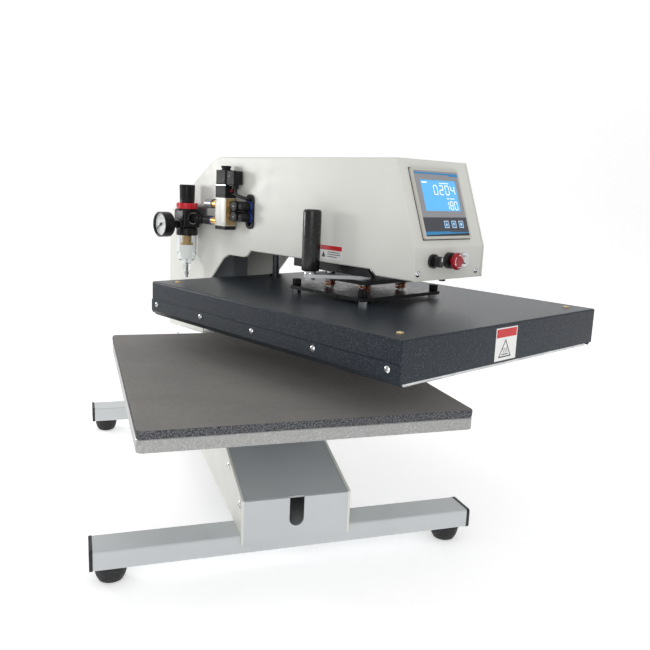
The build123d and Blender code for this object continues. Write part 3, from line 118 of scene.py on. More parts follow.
def soft_light(name, place, target, size, power):
    """A square softbox at a place, facing a target; size in metres, power in watts."""
    lamp = bpy.data.lights.new(name, "AREA")
    lamp.size, lamp.energy = size, power
    light = bpy.data.objects.new(name, lamp)
    light.location = place
    light.rotation_euler = (Vector(target) - Vector(place)).to_track_quat("-Z", "Y").to_euler()
    bpy.context.scene.collection.objects.link(light)


PRESS_MIDDLE = (0.05, 0.1, 0.3)
soft_light("top_softbox", (0.0, -0.3, 2.6), PRESS_MIDDLE, 2.6, 11.0)
soft_light("front_softbox", (-0.9, -2.4, 1.3), PRESS_MIDDLE, 1.6, 16.5)
soft_light("left_softbox", (-0.85, 0.7, 0.52), PRESS_MIDDLE, 0.22, 2.5)
soft_light("right_softbox", (2.4, -0.6, 1.2), PRESS_MIDDLE, 1.8, 4.5)
world = bpy.data.worlds.new("studio")
world.use_nodes = True
world.node_tree.nodes["Background"].inputs["Color"].default_value = (1.0, 1.0, 1.0, 1.0)
world.node_tree.nodes["Background"].inputs["Strength"].default_value = 0.45
bpy.context.scene.world = world
bpy.context.scene.view_settings.view_transform = "Standard"

# ---- stand: tubes and caps ---------------------------------------------------------------
# Two lengths of rolled rectangular tube, powder coated light grey after welding. The coat
# has a fine orange-peel skin, a little uneven in gloss.
def add_node(made, kind, **settings):
    """A node in a material's tree, with its settings and its unlinked input values."""
    node = made.node_tree.nodes.new(kind)
    for key, value in settings.items():
        if hasattr(node, key):
            setattr(node, key, value)
        else:
            node.inputs[key.replace("_", " ")].default_value = value
    return node


def link(made, output, target):
    made.node_tree.links.new(output, target)


def object_grain(made, scale, detail=4.0, stretch=(1.0, 1.0, 1.0), turn=(0.0, 0.0, 0.0)):
    """Noise on the piece's own coordinates, in cells per metre; returns its factor."""
    spot = add_node(made, "ShaderNodeTexCoord")
    map_node = add_node(made, "ShaderNodeMapping")
    map_node.vector_type = "TEXTURE"
    map_node.inputs["Scale"].default_value = [1.0 / s for s in stretch]
    map_node.inputs["Rotation"].default_value = turn
    grain = add_node(made, "ShaderNodeTexNoise", Scale=scale, Detail=detail)
    link(made, spot.outputs["Object"], map_node.inputs["Vector"])
    link(made, map_node.outputs["Vector"], grain.inputs["Vector"])
    return grain.outputs["Fac"]


def add_bump(made, height, depth):
    """Relief of a given depth in metres, stacked on what the shader already has."""
    shader = made.node_tree.nodes["Principled BSDF"]
    bump = add_node(made, "ShaderNodeBump", Strength=1.0, Distance=depth)
    before = shader.inputs["Normal"].links
    if before:
        link(made, before[0].from_socket, bump.inputs["Normal"])
    link(made, height, bump.inputs["Height"])
    link(made, bump.outputs["Normal"], shader.inputs["Normal"])


def relief(made, depth, *grain):
    """Relief from a noise; the values after the depth are the grain's scale, detail and stretch."""
    add_bump(made, object_grain(made, *grain), depth)


def gloss(made, low, high, *grain):
    """Roughness that wanders between two limits with a noise."""
    span = add_node(made, "ShaderNodeMapRange", To_Min=low, To_Max=high, From_Min=0.3, From_Max=0.7)
    link(made, object_grain(made, *grain), span.inputs["Value"])
    link(made, span.outputs["Result"], made.node_tree.nodes["Principled BSDF"].inputs["Roughness"])


def vary_colour(made, factor, *stops):
    """Colours the surface along a factor; each stop is (position, screen colour 0-255)."""
    ramp = add_node(made, "ShaderNodeValToRGB")
    while len(ramp.color_ramp.elements) < len(stops):
        ramp.color_ramp.elements.new(0.5)
    for element, (position, colour) in zip(ramp.color_ramp.elements, stops):
        element.position = position
        element.color = (*[((c / 255 + 0.055) / 1.055) ** 2.4 for c in colour], 1.0)
    link(made, factor, ramp.inputs["Fac"])
    link(made, ramp.outputs["Color"], made.node_tree.nodes["Principled BSDF"].inputs["Base Color"])


def set_shader(made, **values):
    """Plain values on a shader's own sockets."""
    for key, value in values.items():
        made.node_tree.nodes["Principled BSDF"].inputs[key.replace("_", " ")].default_value = value


def powder_coat(name, colour, roughness, peel=0.00006):
    """Powder coat with orange peel, faint cloudiness and an uneven gloss."""
    made = new_finish(name, colour, roughness)
    lighter = [min(255, c + 4) for c in colour]
    darker = [c - 5 for c in colour]
    vary_colour(made, object_grain(made, 7.0, 3.0), (0.3, darker), (0.7, lighter))
    gloss(made, roughness - 0.05, roughness + 0.07, 60.0, 3.0)
    relief(made, peel, 900.0, 2.0)
    return made


def finish_nodes(made, *nodes):
    """Gives CAD nodes a finish."""
    for node in nodes:
        slots = frame["nodes"][node].data.materials
        slots.clear()
        slots.append(made)


stand_coat = powder_coat("stand_powder_coat", (200, 204, 206), 0.42)
finish_nodes(stand_coat, "front_tube", "rear_tube")
cap_black = new_finish("moulded_cap_black", (24, 24, 25), 0.5)
gloss(cap_black, 0.42, 0.6, 300.0)
relief(cap_black, 0.00004, 1600.0, 2.0)
finish_nodes(cap_black, "tube_end_caps")


def to_piece(name, shape, body, made, place=None, sharp=35.0):
    """Turns a bmesh or mesh into a piece that rides on a body, smooth but for sharp edges."""
    if isinstance(shape, bmesh.types.BMesh):
        mesh = bpy.data.meshes.new(name)
        bmesh.ops.recalc_face_normals(shape, faces=shape.faces)
        shape.to_mesh(mesh)
        shape.free()
    else:
        mesh = shape
    if place is not None:
        mesh.transform(place)
    mesh.polygons.foreach_set("use_smooth", [True] * len(mesh.polygons))
    mesh.set_sharp_from_angle(angle=math.radians(sharp))
    if mesh.materials:
        mesh.materials.clear()
    mesh.materials.append(made)
    made_piece = bpy.data.objects.new(name, mesh)
    bpy.context.scene.collection.objects.link(made_piece)
    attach(made_piece, body)
    return made_piece


def turn_profile(profile, around=48, into=None, place=None):
    """A turned shape about Z from (radius, height) points; ends at radius 0 are closed."""
    shape = into or bmesh.new()
    rings = []
    place = place or Matrix.Identity(4)
    for radius, height in profile:
        if radius == 0.0:
            rings.append([shape.verts.new(place @ Vector((0.0, 0.0, height)))])
            continue
        rings.append([shape.verts.new(place @ Vector((radius * math.cos(a), radius * math.sin(a), height)))
                      for a in (2 * math.pi * i / around for i in range(around))])
    for low, high in zip(rings, rings[1:]):
        for i in range(around):
            j = (i + 1) % around
            corners = [low[i % len(low)], low[j % len(low)], high[j % len(high)], high[i % len(high)]]
            unique = list(dict.fromkeys(corners))
            if len(unique) > 2:
                shape.faces.new(unique)
    return shape


def solids_of(node, place=Matrix.Identity(4)):
    """The separate solids of a CAD node, copied and merged: corners and faces in a place's frame."""
    whole = bmesh.new()
    whole.from_mesh(frame["nodes"][node].data)
    bmesh.ops.remove_doubles(whole, verts=whole.verts, dist=0.000001)
    bmesh.ops.transform(whole, matrix=place.inverted(), verts=whole.verts)
    left = set(whole.verts)
    solids = []
    while left:
        found = {left.pop()}
        rim = list(found)
        while rim:
            for edge in rim.pop().link_edges:
                fresh = [v for v in edge.verts if v not in found]
                found.update(fresh)
                rim += fresh
        left -= found
        order = {v: i for i, v in enumerate(found)}
        spots = [v.co.copy() for v in order]
        skin = {f for v in found for f in v.link_faces}
        solids.append({"points": spots, "faces": [[order[v] for v in f.verts] for f in skin],
                       "low": Vector([min(p[i] for p in spots) for i in range(3)]),
                       "high": Vector([max(p[i] for p in spots) for i in range(3)])})
    whole.free()
    return sorted(solids, key=lambda solid: tuple(solid["low"]))


# ---- feet --------------------------------------------------------------------------------
# Moulded rubber feet, wide under the tube and drawn in to a domed tread, with a ring groove
# below the rim. Each is bonded to a threaded stud.
rubber = new_finish("moulded_rubber", (26, 27, 28), 0.62)
gloss(rubber, 0.5, 0.74, 220.0)
relief(rubber, 0.00007, 1400.0, 3.0)
low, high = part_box("levelling_feet")
foot_height = high.z - low.z
feet = bmesh.new()
foot_outline = [(0.0, 0.0), (0.6, 0.0), (0.72, 0.06), (0.86, 0.3), (0.95, 0.58), (0.96, 0.72), (1.0, 0.78),
                (1.0, 0.97), (0.97, 1.0), (0.0, 1.0)]
for foot in solids_of("levelling_feet"):
    foot_reach = (foot["high"].x - foot["low"].x) / 2
    middle = (foot["low"] + foot["high"]) / 2
    turn_profile([(r * foot_reach, h * foot_height) for r, h in foot_outline], 56, feet,
                 Matrix.Translation((middle.x, middle.y, low.z)))
rubber_feet = to_piece("rubber_feet", feet, "stand", rubber, sharp=50.0)
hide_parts("levelling_feet")

# ---- spine -------------------------------------------------------------------------------
# Two laser-cut side plates and a folded front, coated with the stand, under a smoother steel
# grey cover that slopes up to the platen. Plated cross-head screws hold plates and cover.
arm_coat = powder_coat("arm_powder_coat", (222, 222, 216), 0.4)
finish_nodes(arm_coat, "spine_side_plates")
finish_nodes(stand_coat, "spine_tray")
cover_grey = powder_coat("spine_cover_grey", (174, 178, 180), 0.42, 0.00002)
finish_nodes(cover_grey, "spine_cover", "platen_support")
bright_plate = new_finish("bright_plating", (222, 222, 224), 0.16, 1.0)
gloss(bright_plate, 0.1, 0.24, 400.0)
relief(bright_plate, 0.00002, 900.0, 2.0)


def group_inputs(tree, **kinds):
    """Named inputs of a node group, and its geometry in and out."""
    tree.interface.new_socket("Geometry", in_out="INPUT", socket_type="NodeSocketGeometry")
    tree.interface.new_socket("Geometry", in_out="OUTPUT", socket_type="NodeSocketGeometry")
    for name, kind in kinds.items():
        tree.interface.new_socket(name.replace("_", " "), in_out="INPUT", socket_type="NodeSocket" + kind)
    return tree.nodes.new("NodeGroupInput"), tree.nodes.new("NodeGroupOutput")


def tree_node(tree, kind, links=None, **settings):
    """A node in a geometry tree; links maps input names or numbers to sockets."""
    node = tree.nodes.new(kind)
    for key, value in settings.items():
        if hasattr(node, key):
            setattr(node, key, value)
        else:
            node.inputs[key.replace("_", " ")].default_value = value
    for target, source in (links or {}).items():
        tree.links.new(source, node.inputs[target])
    return node


def scatter(tree, given, result, unit):
    """Ends a tree: its unit shape on every point, turned to the point's direction, made real."""
    facing = tree_node(tree, "GeometryNodeInputNamedAttribute", data_type="FLOAT_VECTOR", Name="facing")
    turned = tree_node(tree, "FunctionNodeAlignRotationToVector", {"Vector": facing.outputs["Attribute"]},
                       axis="Z")
    spread = tree_node(tree, "GeometryNodeInstanceOnPoints",
                       {"Points": given.outputs["Geometry"], "Instance": unit,
                        "Rotation": turned.outputs["Rotation"]})
    real = tree_node(tree, "GeometryNodeRealizeInstances", {"Geometry": spread.outputs["Instances"]})
    dressed = tree_node(tree, "GeometryNodeSetMaterial",
                        {"Geometry": real.outputs["Geometry"], "Material": given.outputs["Material"]})
    tree.links.new(dressed.outputs["Geometry"], result.inputs["Geometry"])


def place_all(name, tree, points, body, made, slot, sharp=30.0, **sizes):
    """Runs a tree on (place, direction) points and keeps the plain mesh as one piece."""
    mesh = bpy.data.meshes.new(name)
    mesh.from_pydata([tuple(place) for place, facing in points], [], [])
    facings = mesh.attributes.new("facing", "FLOAT_VECTOR", "POINT")
    for i, (place, facing) in enumerate(points):
        facings.data[i].vector = tuple(facing)
    holder = bpy.data.objects.new(name + "_points", mesh)
    bpy.context.scene.collection.objects.link(holder)
    worker = holder.modifiers.new("nodes", "NODES")
    worker.node_group = tree
    keys = {item.name: item.identifier for item in tree.interface.items_tree if item.in_out == "INPUT"}
    for size, value in {**sizes, "Material": made}.items():
        worker[keys[size.replace("_", " ")]] = value
    grown = bpy.data.meshes.new_from_object(holder.evaluated_get(bpy.context.evaluated_depsgraph_get()))
    bpy.data.objects.remove(holder)
    piece = to_piece(name, grown, body, made, sharp=sharp)
    return piece


def math_node(tree, operation, first, second=None):
    """Arithmetic on sockets or numbers; returns the result."""
    node = tree.nodes.new("ShaderNodeMath")
    node.operation = operation
    for i, value in enumerate((first, second)):
        if value is None:
            continue
        if isinstance(value, (int, float)):
            node.inputs[i].default_value = value
        else:
            tree.links.new(value, node.inputs[i])
    return node.outputs[0]


def cross_head_tree():
    """A domed screw head with a cross recess, standing on its point."""
    tree = bpy.data.node_groups.new("cross_head_screw", "GeometryNodeTree")
    given, result = group_inputs(tree, Radius="Float", Height="Float", Slot_Width="Float",
                                 Material="Material")
    radius, height, slot_width = (given.outputs[n] for n in ("Radius", "Height", "Slot Width"))
    blank = tree_node(tree, "GeometryNodeMeshCylinder", {"Radius": radius, "Depth": height},
                      Vertices=32, Side_Segments=1, Fill_Segments=7)
    spot = tree_node(tree, "GeometryNodeInputPosition")
    parts = tree_node(tree, "ShaderNodeSeparateXYZ", {0: spot.outputs[0]})
    flat = tree_node(tree, "ShaderNodeCombineXYZ", {"X": parts.outputs["X"], "Y": parts.outputs["Y"]})
    out = tree_node(tree, "ShaderNodeVectorMath", {0: flat.outputs[0]}, operation="LENGTH")
    share = math_node(tree, "DIVIDE", out.outputs["Value"], radius)
    fall = math_node(tree, "SQRT", math_node(tree, "SUBTRACT", 1.0, math_node(tree, "MULTIPLY",
                     math_node(tree, "MULTIPLY", share, share), 0.94)))
    dome = math_node(tree, "MULTIPLY", height, fall)
    raised = tree_node(tree, "ShaderNodeCombineXYZ", {"X": parts.outputs["X"], "Y": parts.outputs["Y"],
                                                      "Z": dome})
    top = math_node(tree, "GREATER_THAN", parts.outputs["Z"], 0.0)
    domed = tree_node(tree, "GeometryNodeSetPosition",
                      {"Geometry": blank.outputs["Mesh"], "Selection": top, "Position": raised.outputs[0]})
    deep = math_node(tree, "MULTIPLY", height, 1.2)
    long = math_node(tree, "MULTIPLY", radius, 1.15)
    cuts = []
    for sides in (("X", "Y"), ("Y", "X")):
        size = tree_node(tree, "ShaderNodeCombineXYZ", {sides[0]: long, sides[1]: slot_width, "Z": deep})
        bar = tree_node(tree, "GeometryNodeMeshCube", {"Size": size.outputs[0]})
        lift = tree_node(tree, "ShaderNodeCombineXYZ", {"Z": height})
        cuts.append(tree_node(tree, "GeometryNodeTransform",
                              {"Geometry": bar.outputs["Mesh"], "Translation": lift.outputs[0]}))
    cut = domed
    for bar in cuts:
        cut = tree_node(tree, "GeometryNodeMeshBoolean",
                        {"Mesh 1": cut.outputs["Geometry" if cut is domed else "Mesh"],
                         "Mesh 2": bar.outputs["Geometry"]}, operation="DIFFERENCE")
    scatter(tree, given, result, cut.outputs["Mesh"])
    return tree


cross_head = cross_head_tree()
side_low, side_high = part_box("spine_side_plates")


def solid_piece(name, solids, body, made, place=Matrix.Identity(4), sharp=30.0):
    """One piece of some copied solids."""
    points, faces = [], []
    for solid in solids:
        faces += [[len(points) + i for i in face] for face in solid["faces"]]
        points += solid["points"]
    mesh = bpy.data.meshes.new(name)
    mesh.from_pydata(points, [], faces)
    piece = to_piece(name, mesh, body, made, place, sharp)
    return piece


def head_seats(solids, middle, place=Matrix.Identity(4)):
    """Where each flat round head sits and which way it faces, away from a middle."""
    seats = []
    for solid in solids:
        size = solid["high"] - solid["low"]
        axis = min(range(3), key=lambda i: size[i])
        centre = (solid["high"] + solid["low"]) / 2
        way = Vector((0.0, 0.0, 0.0))
        way[axis] = 1.0 if centre[axis] > middle[axis] else -1.0
        seat = centre - way * size[axis] / 2
        seats.append((place @ seat, (place.to_3x3() @ way).normalized()))
    return seats


stand_fixings = solids_of("stand_screws")
spine_middle = (side_low + side_high) / 2
dome_heads = [s for s in stand_fixings if s["high"].x - s["low"].x < 0.0035]
place_all("spine_screws", cross_head, head_seats(dome_heads, spine_middle), "stand", bright_plate,
          "chrome_steel", Radius=0.0052, Height=0.0024, Slot_Width=0.0012)
stand_bolts = solid_piece("platen_support_bolts", [s for s in stand_fixings if s not in dome_heads],
                          "stand", bright_plate)
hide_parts("stand_screws")

# ---- lower platen ------------------------------------------------------------------------
# A 15 mm cast aluminium plate with rounded corners, its edge face-milled in slanting passes.
# The underside is left as cut.
milled = new_finish("milled_aluminium", (180, 180, 179), 0.4, 0.75)
strokes = object_grain(milled, 170.0, 3.0, (5.0, 5.0, 0.4), (0.5, 0.65, 0.0))
vary_colour(milled, strokes, (0.36, (156, 156, 155)), (0.55, (168, 168, 167)), (0.74, (198, 198, 197)))
gloss(milled, 0.3, 0.48, 160.0, 4.0, (2.0, 2.0, 0.4), (0.5, 0.65, 0.0))
add_bump(milled, strokes, 0.00001)
finish_nodes(milled, "lower_platen")

# ---- pad ---------------------------------------------------------------------------------
# Closed-cell silicone sponge with a smooth moulded skin, bonded to the lower platen. It is cut
# to size, and its cut edge shows the open pores as dark specks of painted shade.
pad_skin = new_finish("sponge_skin", (127, 123, 117), 0.72)
vary_colour(pad_skin, object_grain(pad_skin, 9.0, 4.0), (0.3, (119, 116, 113)), (0.7, (129, 126, 122)))
gloss(pad_skin, 0.6, 0.82, 260.0)
relief(pad_skin, 0.00008, 700.0, 3.0)
pad_cut = new_finish("sponge_cut_edge", (84, 85, 89), 0.95)
# The darkest stop paints shade in the open pores of the cut edge; the same noise gives their relief.
pores_and_shade = object_grain(pad_cut, 620.0, 2.0)
vary_colour(pad_cut, pores_and_shade, (0.36, (44, 45, 48)), (0.5, (82, 83, 87)), (0.66, (124, 125, 128)))
add_bump(pad_cut, pores_and_shade, 0.0007)
low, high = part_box("platen_pad")
PAD_CORNER = 0.007
PAD_STEP = 0.006
PAD_INSET = 0.0008
PAD_WAVE = 0.00012
CUT_LEVELS = 6
outline = []
for turn, (cx, cy) in enumerate(((high.x, high.y), (low.x, high.y), (low.x, low.y), (high.x, low.y))):
    middle = Vector((cx + (-PAD_CORNER if cx > 0 else PAD_CORNER),
                     cy + (-PAD_CORNER if cy > 0 else PAD_CORNER)))
    for step in range(7):
        angle = math.pi / 2 * (turn + step / 6)
        outline.append((middle + PAD_CORNER * Vector((math.cos(angle), math.sin(angle))),
                        Vector((math.cos(angle), math.sin(angle)))))
outline_fine = []
for i, (spot, way) in enumerate(outline):
    after, after_way = outline[(i + 1) % len(outline)]
    parts = max(1, round((after - spot).length / PAD_STEP))
    for part in range(parts):
        outline_fine.append((spot.lerp(after, part / parts),
                             way.lerp(after_way, part / parts).normalized()))
pad = bmesh.new()
pad_height = high.z - low.z
levels = [(0.0, 0.0), (0.12, -0.0004), (0.35, -0.0008), (0.6, -0.0008), (0.85, -0.0006), (0.95, -0.0003),
          (0.985, 0.0), (1.0, 0.0007), (1.0, 0.006)]
rings = []
for n, (share, inset) in enumerate(levels):
    ring = []
    for i, (spot, way) in enumerate(outline_fine):
        wave = PAD_WAVE * math.sin(i * 1.7 + n) * math.sin(i * 0.37)
        push = spot - way * max(0.0, inset + PAD_INSET + (wave if n not in (0, len(levels) - 1) else 0.0))
        ring.append(pad.verts.new((push.x, push.y, low.z + pad_height * share)))
    rings.append(ring)
for n, (under, over) in enumerate(zip(rings, rings[1:])):
    for i in range(len(under)):
        j = (i + 1) % len(under)
        pad.faces.new((under[i], under[j], over[j], over[i])).material_index = 0 if n >= CUT_LEVELS else 1
pad.faces.new(rings[-1])
pad.faces.new(list(reversed(rings[0])))
pad_piece = to_piece("sponge_pad", pad, "stand", pad_skin, sharp=60.0)
pad_piece.data.materials.append(pad_cut)
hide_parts("platen_pad")

# ---- arm ---------------------------------------------------------------------------------
# The column is ground and hard chromed. Round it swings a shell of laser-cut side plates with
# a folded top and front, welded, dressed smooth and coated warm light grey.
ground_chrome = new_finish("ground_chrome", (205, 207, 210), 0.12, 1.0)
gloss(ground_chrome, 0.08, 0.2, 40.0, 4.0, (1.0, 1.0, 12.0))
relief(ground_chrome, 0.00001, 200.0, 2.0, (1.0, 1.0, 10.0))
finish_nodes(ground_chrome, "pivot_column", "piston_rod")
finish_nodes(arm_coat, "arm_left_plate", "arm_right_plate", "arm_top_skin", "control_panel")
swing = next(joint for joint in frame["joints"] if joint["name"] == "head_swing")
pivot = Vector(swing["pos_m"])
ARM = Matrix.Translation((pivot.x, pivot.y, 0.0)) @ Matrix.Rotation(
    -math.radians(swing["range_deg"][0]), 4, "Z") @ Matrix.Scale(0.001, 4)


def arm_box(node):
    """A CAD node's corners in the arm's own frame: X across it, -Y along its reach, millimetres."""
    corners = [ARM.inverted() @ v.co for v in frame["nodes"][node].data.vertices]
    return (Vector([min(c[i] for c in corners) for i in range(3)]),
            Vector([max(c[i] for c in corners) for i in range(3)]))


# ---- inside the arm ----------------------------------------------------------------------
# Bearing sleeve and box beam are welded steel in black enamel. The cylinder is extruded and
# anodised, on a black channel, and the bushes are sintered bronze.
black_enamel = new_finish("black_enamel", (22, 23, 25), 0.3)
set_shader(black_enamel, Specular_IOR_Level=0.3)
gloss(black_enamel, 0.24, 0.4, 120.0, 3.0)
relief(black_enamel, 0.00003, 500.0, 2.0)
finish_nodes(black_enamel, "cylinder_base", "upper_plate", "mounting_plate")
beam_enamel = new_finish("grey_enamel", (110, 114, 118), 0.4)
vary_colour(beam_enamel, object_grain(beam_enamel, 30.0, 3.0), (0.3, (104, 108, 112)),
            (0.7, (116, 120, 124)))
gloss(beam_enamel, 0.38, 0.54, 200.0, 3.0)
relief(beam_enamel, 0.00004, 900.0, 2.0)
finish_nodes(beam_enamel, "arm_beam")
anodised = new_finish("clear_anodised", (196, 198, 200), 0.42, 0.85)
gloss(anodised, 0.34, 0.5, 90.0, 4.0, (1.0, 1.0, 0.1))
relief(anodised, 0.00002, 900.0, 2.0)
finish_nodes(anodised, "air_cylinder")
bush_bronze = new_finish("sintered_bronze", (150, 112, 66), 0.45, 1.0)
vary_colour(bush_bronze, object_grain(bush_bronze, 800.0), (0.3, (128, 94, 54)), (0.7, (170, 130, 80)))
relief(bush_bronze, 0.00003, 1500.0)
finish_nodes(bush_bronze, "bronze_bushes")

# ---- display -----------------------------------------------------------------------------
# A moulded light grey frame snapped into the sloped panel, with a printed polyester film on
# its face. The lit liquid crystal shows time over temperature in white on blue.
bezel_grey = new_finish("bezel_moulding", (200, 198, 190), 0.45)
gloss(bezel_grey, 0.38, 0.55, 300.0)
relief(bezel_grey, 0.00002, 1800.0, 2.0)
finish_nodes(bezel_grey, "display_bezel")


def print_ink(name, colour, roughness=0.32, glow=0.0):
    """Screen ink under a satin film, very slightly mottled; a lit one glows."""
    made = new_finish(name, colour, roughness)
    light = [min(255, c + 3) for c in colour]
    dark = [max(11, c - 3) for c in colour]
    vary_colour(made, object_grain(made, 400.0, 2.0), (0.3, dark), (0.7, light))
    gloss(made, roughness - 0.04, roughness + 0.05, 700.0, 2.0)
    if glow:
        base = made.node_tree.nodes["Principled BSDF"].inputs["Base Color"].default_value
        set_shader(made, Emission_Color=[*base[:3], 1.0], Emission_Strength=glow)
    return made


film_grey = print_ink("film_grey", (150, 150, 156))
film_dark = print_ink("film_slate", (58, 62, 72))
film_blue = print_ink("film_blue", (30, 138, 196))
film_black = print_ink("film_black", (26, 27, 30))
crystal_blue = print_ink("lit_crystal_blue", (92, 184, 246), 0.2, 0.25)
crystal_white = print_ink("lit_crystal_white", (250, 250, 255), 0.2, 0.5)
key_blue = print_ink("key_blue", (28, 140, 200), 0.3)
key_white = print_ink("key_white", (236, 242, 246), 0.3)
finish_nodes(crystal_blue, "display_screen")
finish_nodes(key_blue, "display_key_1", "display_key_2", "display_key_3")
glass = solids_of("display_screen", ARM)[0]
PANEL_WAY = Vector((0.0, -1.0, 0.3))


def towards_panel(face):
    """How far a face of the glass looks the way of the sloped panel, by its area."""
    first, second, third = (glass["points"][i] for i in face[:3])
    return (second - first).cross(third - first).dot(PANEL_WAY)


front_face = max(glass["faces"], key=towards_panel)
glass_points = [glass["points"][i] for i in front_face]
outward = (glass_points[1] - glass_points[0]).cross(glass_points[2] - glass_points[0]).normalized()
glass_corners = [p for p in glass["points"] if abs((p - glass_points[0]).dot(outward)) < 0.01]
glass_middle = sum(glass_corners, Vector()) / len(glass_corners)
uphill = outward.cross(Vector((1.0, 0.0, 0.0)))
SCREEN = ARM @ Matrix.Translation(glass_middle) @ Matrix(
    ((1.0, 0.0, 0.0), uphill, outward)).transposed().to_4x4()


def flat_shape(shape, outline, level, thick):
    """A thin flat plate with a given outline, its top at a level."""
    upper = [shape.verts.new((x, y, level)) for x, y in outline]
    lower = [shape.verts.new((x, y, level - thick)) for x, y in outline]
    shape.faces.new(upper)
    shape.faces.new(list(reversed(lower)))
    for i in range(len(outline)):
        j = (i + 1) % len(outline)
        shape.faces.new((lower[i], lower[j], upper[j], upper[i]))


def flat_piece(name, outlines, level, thick, body, made, place):
    """Thin flat plates in one piece, such as a print or a label."""
    shape = bmesh.new()
    for outline in outlines:
        flat_shape(shape, outline, level, thick)
    piece = to_piece(name, shape, body, made, place)
    return piece


def oblong(x0, y0, x1, y1):
    return [(x0, y0), (x1, y0), (x1, y1), (x0, y1)]


bezel = solids_of("display_bezel", SCREEN)[0]
pane = solids_of("display_screen", SCREEN)[0]
FILM_MARGIN = 3.6
FILM = bezel["high"].z + 0.15
film_left, film_right = bezel["low"].x + FILM_MARGIN, bezel["high"].x - FILM_MARGIN
film_top, film_low = bezel["high"].y - FILM_MARGIN, bezel["low"].y + FILM_MARGIN
key_lows, key_highs = [], []
for number in (1, 2, 3):
    key = solids_of("display_key_%d" % number, SCREEN)[0]
    key_lows.append(key["low"])
    key_highs.append(key["high"])
KEY_SLIT = 0.3
band_top, band_low = key_highs[0].y + 5.0, key_lows[0].y - 4.6
window_low, window_high = pane["low"] - Vector((0.3, 0.3, 0.0)), pane["high"] + Vector((0.3, 0.3, 0.0))
film_frame = [oblong(film_left, window_high.y, film_right, film_top),
              oblong(film_left, band_top, film_right, window_low.y),
              oblong(film_left, window_low.y, window_low.x, window_high.y),
              oblong(window_high.x, window_low.y, film_right, window_high.y)]
flat_piece("film_face", film_frame, FILM, 0.15, "arm", film_grey, SCREEN)
edges_x = [film_left, *[v for a, b in zip(key_lows, key_highs) for v in (a.x - KEY_SLIT, b.x + KEY_SLIT)],
           film_right]
band = [oblong(edges_x[i], band_low, edges_x[i + 1], band_top) for i in range(0, len(edges_x), 2)]
for a, b in zip(key_lows, key_highs):
    band.append(oblong(a.x - KEY_SLIT, b.y + KEY_SLIT, b.x + KEY_SLIT, band_top))
    band.append(oblong(a.x - KEY_SLIT, band_low, b.x + KEY_SLIT, a.y - KEY_SLIT))
band.append([(8.0, band_low - 1.0), (film_right, band_low - 1.3), (film_right, band_low), (2.0, band_low)])
flat_piece("film_band", band, FILM, 0.15, "arm", film_dark, SCREEN)
top_stripe = [(film_left + 1.0, film_top - 4.6), (24.0, film_top - 5.1), (27.0, film_top - 6.9),
              (film_right, film_top - 6.9), (film_right, film_top - 2.9), (film_left + 1.0, film_top - 2.1)]
low_stripe = [(film_left, band_low - 4.6), (film_right, band_low - 2.6), (film_right, band_low - 1.3),
              (8.0, band_low - 1.0), (2.0, band_low), (film_left, band_low)]
flat_piece("film_stripes", [top_stripe, low_stripe], FILM + 0.04, 0.15, "arm", film_blue,
           SCREEN)
foot_print = [(film_left, film_low), (film_right, film_low), (film_right, band_low - 2.6),
              (film_left, band_low - 4.6)]
flat_piece("film_foot", [foot_print], FILM, 0.15, "arm", film_black, SCREEN)

# ---- display gasket ----------------------------------------------------------------------
# A die-cut rubber gasket under the frame's flange, pressed against the sloped panel. Its edge
# shows all round as a thin black line.
GASKET = 0.9
GASKET_T = 0.44
flange_back = min(p.z for p in bezel["points"] if p.x < bezel["low"].x + 0.1)
GASKET_UNDER = 1.0
out_low, out_high = bezel["low"].xy - Vector((GASKET, GASKET)), bezel["high"].xy + Vector((GASKET, GASKET))
in_low = bezel["low"].xy + Vector((GASKET_UNDER, GASKET_UNDER))
in_high = bezel["high"].xy - Vector((GASKET_UNDER, GASKET_UNDER))
gasket = [oblong(out_low.x, out_low.y, out_high.x, in_low.y),
          oblong(out_low.x, in_high.y, out_high.x, out_high.y),
          oblong(out_low.x, in_low.y, in_low.x, in_high.y),
          oblong(in_high.x, in_low.y, out_high.x, in_high.y)]
flat_piece("bezel_gasket", gasket, flange_back + GASKET_T + 0.01, GASKET_T, "arm", rubber,
           SCREEN)

# ---- display figures and key marks -------------------------------------------------------
# Seven-segment figures light up white in the crystal. Each key is a printed blue dome with a
# white rim and mark.
SEGMENTS = {"0": "abcdef", "1": "bc", "2": "abged", "4": "fgbc", "8": "abcdefg"}


def digit(figure, x, y, width, height, stroke):
    """The lit segments of one figure of a seven-segment display, mitred at their ends."""
    half = stroke / 2
    bars = {"a": (0, 1, 1, 1), "b": (1, 0.5, 1, 1), "c": (1, 0, 1, 0.5), "d": (0, 0, 1, 0),
            "e": (0, 0, 0, 0.5), "f": (0, 0.5, 0, 1), "g": (0, 0.5, 1, 0.5)}
    made = []
    for letter in SEGMENTS[figure]:
        ax, ay, bx, by = bars[letter]
        ax, bx = x + ax * width, x + bx * width
        ay, by = y + ay * height, y + by * height
        gap = 0.25
        if ay == by:
            made.append([(ax + gap, ay), (ax + gap + half, ay - half), (bx - gap - half, ay - half),
                         (bx - gap, ay), (bx - gap - half, ay + half), (ax + gap + half, ay + half)])
        else:
            made.append([(ax, ay + gap), (ax + half, ay + gap + half), (ax + half, by - gap - half),
                         (ax, by - gap), (ax - half, by - gap - half), (ax - half, ay + gap + half)])
    return made


